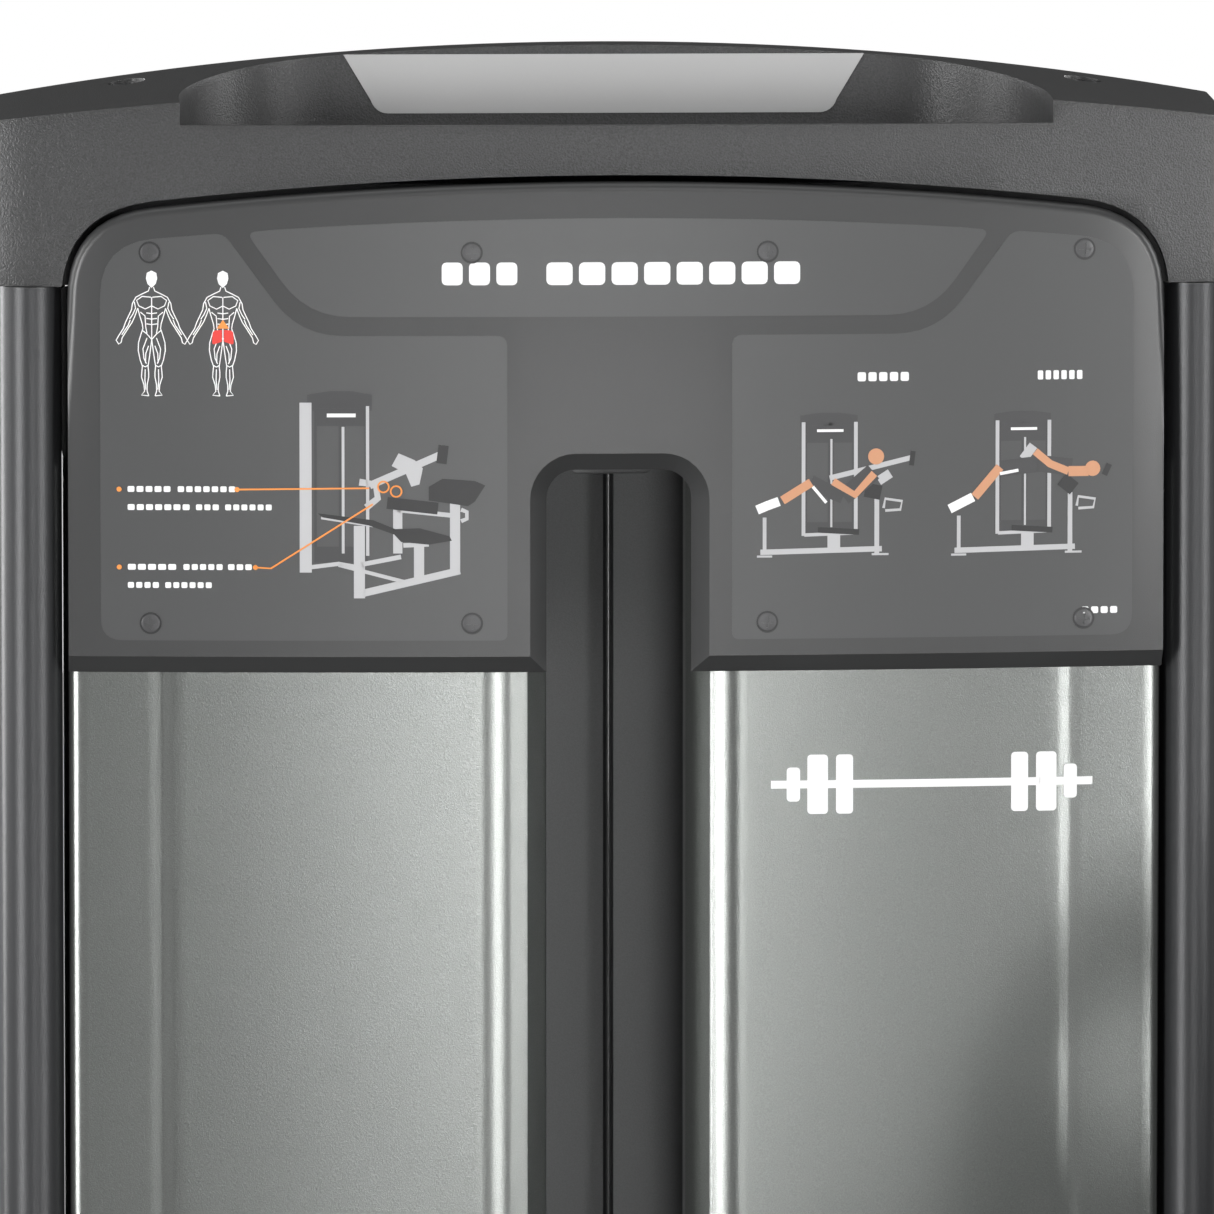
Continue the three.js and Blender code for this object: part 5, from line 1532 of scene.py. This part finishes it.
# ---- Orange knobs ----
# Moulded knobs with five soft lobes, a rounded face and a steel collar under each.
def lobed_knob(node, axis=(0, -1, 0), collar=0.35):
    """A five-lobed knob over the CAD knob's length, facing along the axis."""
    low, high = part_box(node)
    centre = (low + high) / 2
    across = max(range(3), key=lambda i: abs(axis[i]))
    depth = (high - low)[across]
    others = [i for i in range(3) if i != across]
    radius = min((high - low)[i] for i in others) / 2
    sign = 1 if axis[across] > 0 else -1
    outline = []
    for i in range(80):
        turn = math.tau * i / 80
        reach = radius * (0.9 + 0.1 * math.cos(5 * turn))
        outline.append((reach * math.cos(turn), reach * math.sin(turn)))
    foot = -depth / 2 + depth * collar
    knob = prism(f"{node}_lobes", outline, foot, depth / 2)
    ease(knob, min(radius * 0.22, depth * 0.2), 5, 50)
    neck = [(0, -depth / 2), (radius * 0.42, -depth / 2), (radius * 0.42, foot - 0.001)]
    neck += [(radius * 0.5, foot + 0.0005), (0, foot + 0.0005)]
    stem = turned(f"{node}_collar", neck, (0, 0, 0), (0, 0, 1), 32)
    for piece in (knob, stem):
        stood(piece, centre, axis)
    smooth(knob, 60)
    settle(knob, node, "orange", orange_plastic, node)
    settle(stem, node, "chrome", zinc_steel)


for name in ("start_knob", "fold_knob", "back_knob"):
    lobed_knob(name)


# ---- Roller link, shaft and grips ----
# A cut plate hangs from the arm and folds. It carries a chromed shaft with two leaning handles in
# black rubber grips, ringed for the hand.
refined("roller_link", "roller_fork", "frame_paint", charcoal_paint, 0.0025, 3)
refined("roller_shaft", "roller_fork", "chrome", bright_steel, 0.0008, 2, 50)


def ringed_grip(node):
    low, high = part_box(node)
    centre = (low + high) / 2
    length, radius, bore = 0.105, 0.016, 0.0096
    lean = math.radians(40)
    direction = Vector((-math.sin(lean), 0, math.cos(lean)))
    half = length / 2
    wall = [(bore, -half), (radius * 1.12, -half), (radius * 1.18, -half + 0.002)]
    wall += [(radius * 1.12, -half + 0.005), (radius * 0.96, -half + 0.006)]
    z = -half + 0.010
    while z < half - 0.010:
        wall += [(radius * 0.94, z), (radius, z + 0.0012)]
        wall += [(radius, z + 0.0032), (radius * 0.94, z + 0.0044)]
        z += 0.0056
    wall += [(radius * 0.98, half - 0.004), (radius * 0.9, half - 0.001), (radius * 0.75, half)]
    wall += [(bore, half)]
    grip = turned(f"{node}_rings", wall, centre, direction, 36)
    settle(grip, "roller_fork", "rubber", black_rubber, node)


ringed_grip("near_grip")
ringed_grip("far_grip")


# ---- Back rest stem ----
# A square painted stem that slides in the head post and carries the back pad.
refined("back_stem", "back_rest", "frame_paint", charcoal_paint, 0.002, 3)


# ---- Upholstery ----
# Black vinyl over dense foam, stretched and stapled under a board. Each pad is crowned, has a
# welted seam round its edge, and its cover is blown out softly before the seams are sewn on.
def vinyl():
    """Black upholstery vinyl with a pebbled grain, shallow folds and a soft sheen."""
    material = bpy.data.materials.new("black_vinyl")
    material.use_nodes = True
    nodes, links = material.node_tree.nodes, material.node_tree.links
    shader = nodes["Principled BSDF"]
    shader.inputs["Sheen Weight"].default_value = 0.12
    shader.inputs["Sheen Roughness"].default_value = 0.4
    place = nodes.new("ShaderNodeTexCoord")
    base = nodes.new("ShaderNodeGroup")
    base.node_tree = surface
    base.inputs["Color"].default_value = (0.019, 0.019, 0.020, 1.0)
    base.inputs["Grain scale"].default_value = 900
    base.inputs["Grain"].default_value = 0.25
    base.inputs["Mottle"].default_value = 0.3
    base.inputs["Roughness"].default_value = 0.42
    pebbles = nodes.new("ShaderNodeTexVoronoi")
    pebbles.feature = "SMOOTH_F1"
    pebbles.inputs["Scale"].default_value = 520
    pebbles.inputs["Smoothness"].default_value = 0.6
    folds = nodes.new("ShaderNodeTexNoise")
    folds.inputs["Scale"].default_value = 26
    folds.inputs["Detail"].default_value = 4
    grain_bump = nodes.new("ShaderNodeBump")
    grain_bump.inputs["Strength"].default_value = 0.35
    grain_bump.inputs["Distance"].default_value = 0.0006
    fold_bump = nodes.new("ShaderNodeBump")
    fold_bump.inputs["Strength"].default_value = 0.12
    fold_bump.inputs["Distance"].default_value = 0.004
    for texture in (pebbles, folds):
        links.new(place.outputs["Object"], texture.inputs["Vector"])
    links.new(place.outputs["Object"], base.inputs["Vector"])
    links.new(base.outputs["Color"], shader.inputs["Base Color"])
    links.new(base.outputs["Roughness"], shader.inputs["Roughness"])
    links.new(folds.outputs["Fac"], fold_bump.inputs["Height"])
    links.new(pebbles.outputs["Distance"], grain_bump.inputs["Height"])
    links.new(fold_bump.outputs["Normal"], grain_bump.inputs["Normal"])
    links.new(grain_bump.outputs["Normal"], shader.inputs["Normal"])
    return material


black_vinyl = vinyl()
welt_vinyl = finish("welt_vinyl", (0.024, 0.024, 0.025), 0.38, 900, 0.3, 0.3)


def stuffed(piece, voxel, most, held):
    """Remeshes a cover and blows it out with cloth, while the points that pass `held` stay."""
    take(piece)
    remesh = piece.modifiers.new("remesh", "REMESH")
    remesh.mode = "VOXEL"
    remesh.voxel_size = voxel
    bpy.ops.object.modifier_apply(modifier=remesh.name)
    rest = [vertex.co.copy() for vertex in piece.data.vertices]
    pins = piece.vertex_groups.new(name="held")
    pins.add([i for i, co in enumerate(rest) if held(co)], 1.0, "REPLACE")
    cloth = piece.modifiers.new("cover", "CLOTH")
    cloth.settings.use_pressure = True
    cloth.settings.uniform_pressure_force = 4.0
    cloth.settings.effector_weights.gravity = 0.0
    cloth.settings.vertex_group_mass = pins.name
    scene = bpy.context.scene
    for step in range(1, 21):
        scene.frame_set(step)
    take(piece)
    bpy.ops.object.modifier_apply(modifier=cloth.name)
    scene.frame_set(1)
    for vertex, before in zip(piece.data.vertices, rest):
        moved = vertex.co - before
        if moved.length > most:
            vertex.co = before + moved.normalized() * most
    piece.vertex_groups.clear()
    take(piece)
    round_off = piece.modifiers.new("round_off", "SUBSURF")
    round_off.levels = 1
    round_off.render_levels = 1
    bpy.ops.object.modifier_apply(modifier=round_off.name)
    bpy.ops.object.shade_smooth()
    return piece


def welt(name, path, radius, piece, sink=0.3):
    """A sewn cord of vinyl laid on the pad's surface along a closed path."""
    placed = []
    for point in path:
        found, spot, normal, _ = piece.closest_point_on_mesh(Vector(point))
        placed.append(spot + normal * radius * (1 - sink) if found else Vector(point))
    count = len(placed)
    placed = [
        (placed[i - 1] + placed[i] * 2 + placed[(i + 1) % count]) / 4 for i in range(count)
    ]
    deselect()
    bpy.ops.mesh.primitive_circle_add(vertices=count, fill_type="NOTHING")
    cord = bpy.context.object
    cord.name = name
    for vertex, spot in zip(cord.data.vertices, placed):
        vertex.co = spot
    bpy.ops.object.convert(target="CURVE")
    cord = bpy.context.object
    cord.data.bevel_depth = radius
    cord.data.bevel_resolution = 3
    bpy.ops.object.convert(target="MESH")
    cord = bpy.context.object
    heal(cord)
    bpy.ops.object.shade_smooth()
    return cord


def even_path(outline, pitch=0.006):
    """Points at an even pitch along a closed flat outline."""
    points = []
    for start, end in zip(outline, outline[1:] + outline[:1]):
        start, end = Vector(start), Vector(end)
        pieces = max(int((end - start).length / pitch), 1)
        points += [start.lerp(end, i / pieces) for i in range(pieces)]
    return points


# ---- Seat pad ----
# A flat seat with well rounded corners, with one welt near its top and one near its base.
seat_low, seat_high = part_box("seat_pad")


def seat_pad():
    inset = 0.006
    outline = rounded(
        seat_low.x + inset, seat_high.x - inset, seat_low.y + inset, seat_high.y - inset, 0.034, 8
    )
    pad = prism("seat_pad_cover", outline, seat_low.z + 0.001, seat_high.z - 0.008)
    ease(pad, 0.014, 4)
    stuffed(pad, 0.006, 0.010, lambda co: co.z < seat_low.z + 0.010)
    for vertex in pad.data.vertices:
        vertex.co.z = max(min(vertex.co.z, seat_high.z + 0.004), seat_low.z + 0.0005)
    return pad


seat = seat_pad()
settle(seat, "frame", "upholstery", black_vinyl, "seat_pad")
seat_edge = even_path(
    rounded(seat_low.x - 0.01, seat_high.x + 0.01, seat_low.y - 0.01, seat_high.y + 0.01, 0.045, 8)
)
seat_welts = [
    welt(f"seat_welt_{i}", [(p.x, p.y, z) for p in seat_edge], 0.0028, seat)
    for i, z in enumerate((seat_high.z - 0.018, seat_low.z + 0.016))
]
settle(joined("seat_welts", seat_welts), "frame", "upholstery", welt_vinyl)


# ---- Back pad ----
# A tall rounded wedge behind the shoulders, with a welt round each end panel.
back_low, back_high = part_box("back_pad")


def back_pad():
    pad = copied("back_pad", "back_pad_cover")
    centre = (back_low + back_high) / 2
    shrink = Vector((0.965, 0.982, 0.965))
    for vertex in pad.data.vertices:
        vertex.co = centre + (vertex.co - centre) * shrink
    stuffed(pad, 0.006, 0.010, lambda co: co.z < back_low.z + 0.014)
    for vertex in pad.data.vertices:
        vertex.co.z = max(vertex.co.z, back_low.z + 0.0005)
    return pad


back = back_pad()
settle(back, "back_rest", "upholstery", black_vinyl, "back_pad")


def end_welt(name, pad, low, high, y, radius=0.0028):
    """A welt round an upright end panel, just inside the pad's end."""
    centre = (low + high) / 2
    reach = max(high.x - low.x, high.z - low.z)
    turns = [math.tau * i / 160 for i in range(160)]
    path = [(centre.x + reach * math.cos(t), y, centre.z + reach * math.sin(t)) for t in turns]
    return welt(name, path, radius, pad)


back_welts = [
    end_welt("back_welt_0", back, back_low, back_high, back_low.y + 0.016),
    end_welt("back_welt_1", back, back_low, back_high, back_high.y - 0.016),
]
settle(joined("back_welts", back_welts), "back_rest", "upholstery", welt_vinyl)

# ---- Roller pad ----
# A round foam roller in the same vinyl, with a welt round each end.
roll_low, roll_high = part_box("roller_pad")
roll_centre = (roll_low + roll_high) / 2
roll_radius = (roll_high.z - roll_low.z) / 2


def roller_pad():
    half = (roll_high.y - roll_low.y) / 2
    bore = 0.0145
    radius = roll_radius - 0.007
    edge = 0.016
    profile = [(bore, -half + 0.001), (radius - edge, -half + 0.001)]
    profile += arc(radius - edge, -half + edge + 0.001, edge, -90, 0, 6)[1:]
    profile += arc(radius - edge, half - edge - 0.001, edge, 0, 90, 6) + [(bore, half - 0.001)]
    pad = turned("roller_pad_cover", profile, roll_centre, (0, 1, 0), 72)

    def held(co):
        reach = math.hypot(co.x - roll_centre.x, co.z - roll_centre.z)
        return reach < radius - edge - 0.004

    stuffed(pad, 0.005, 0.009, held)
    return pad


roll = roller_pad()
settle(roll, "roller_pad", "upholstery", black_vinyl, "roller_pad")


roller_welts = [
    end_welt("roller_welt_0", roll, roll_low, roll_high, roll_low.y + 0.016, 0.0026),
    end_welt("roller_welt_1", roll, roll_low, roll_high, roll_high.y - 0.016, 0.0026),
]
settle(joined("roller_welts", roller_welts), "roller_pad", "upholstery", welt_vinyl)
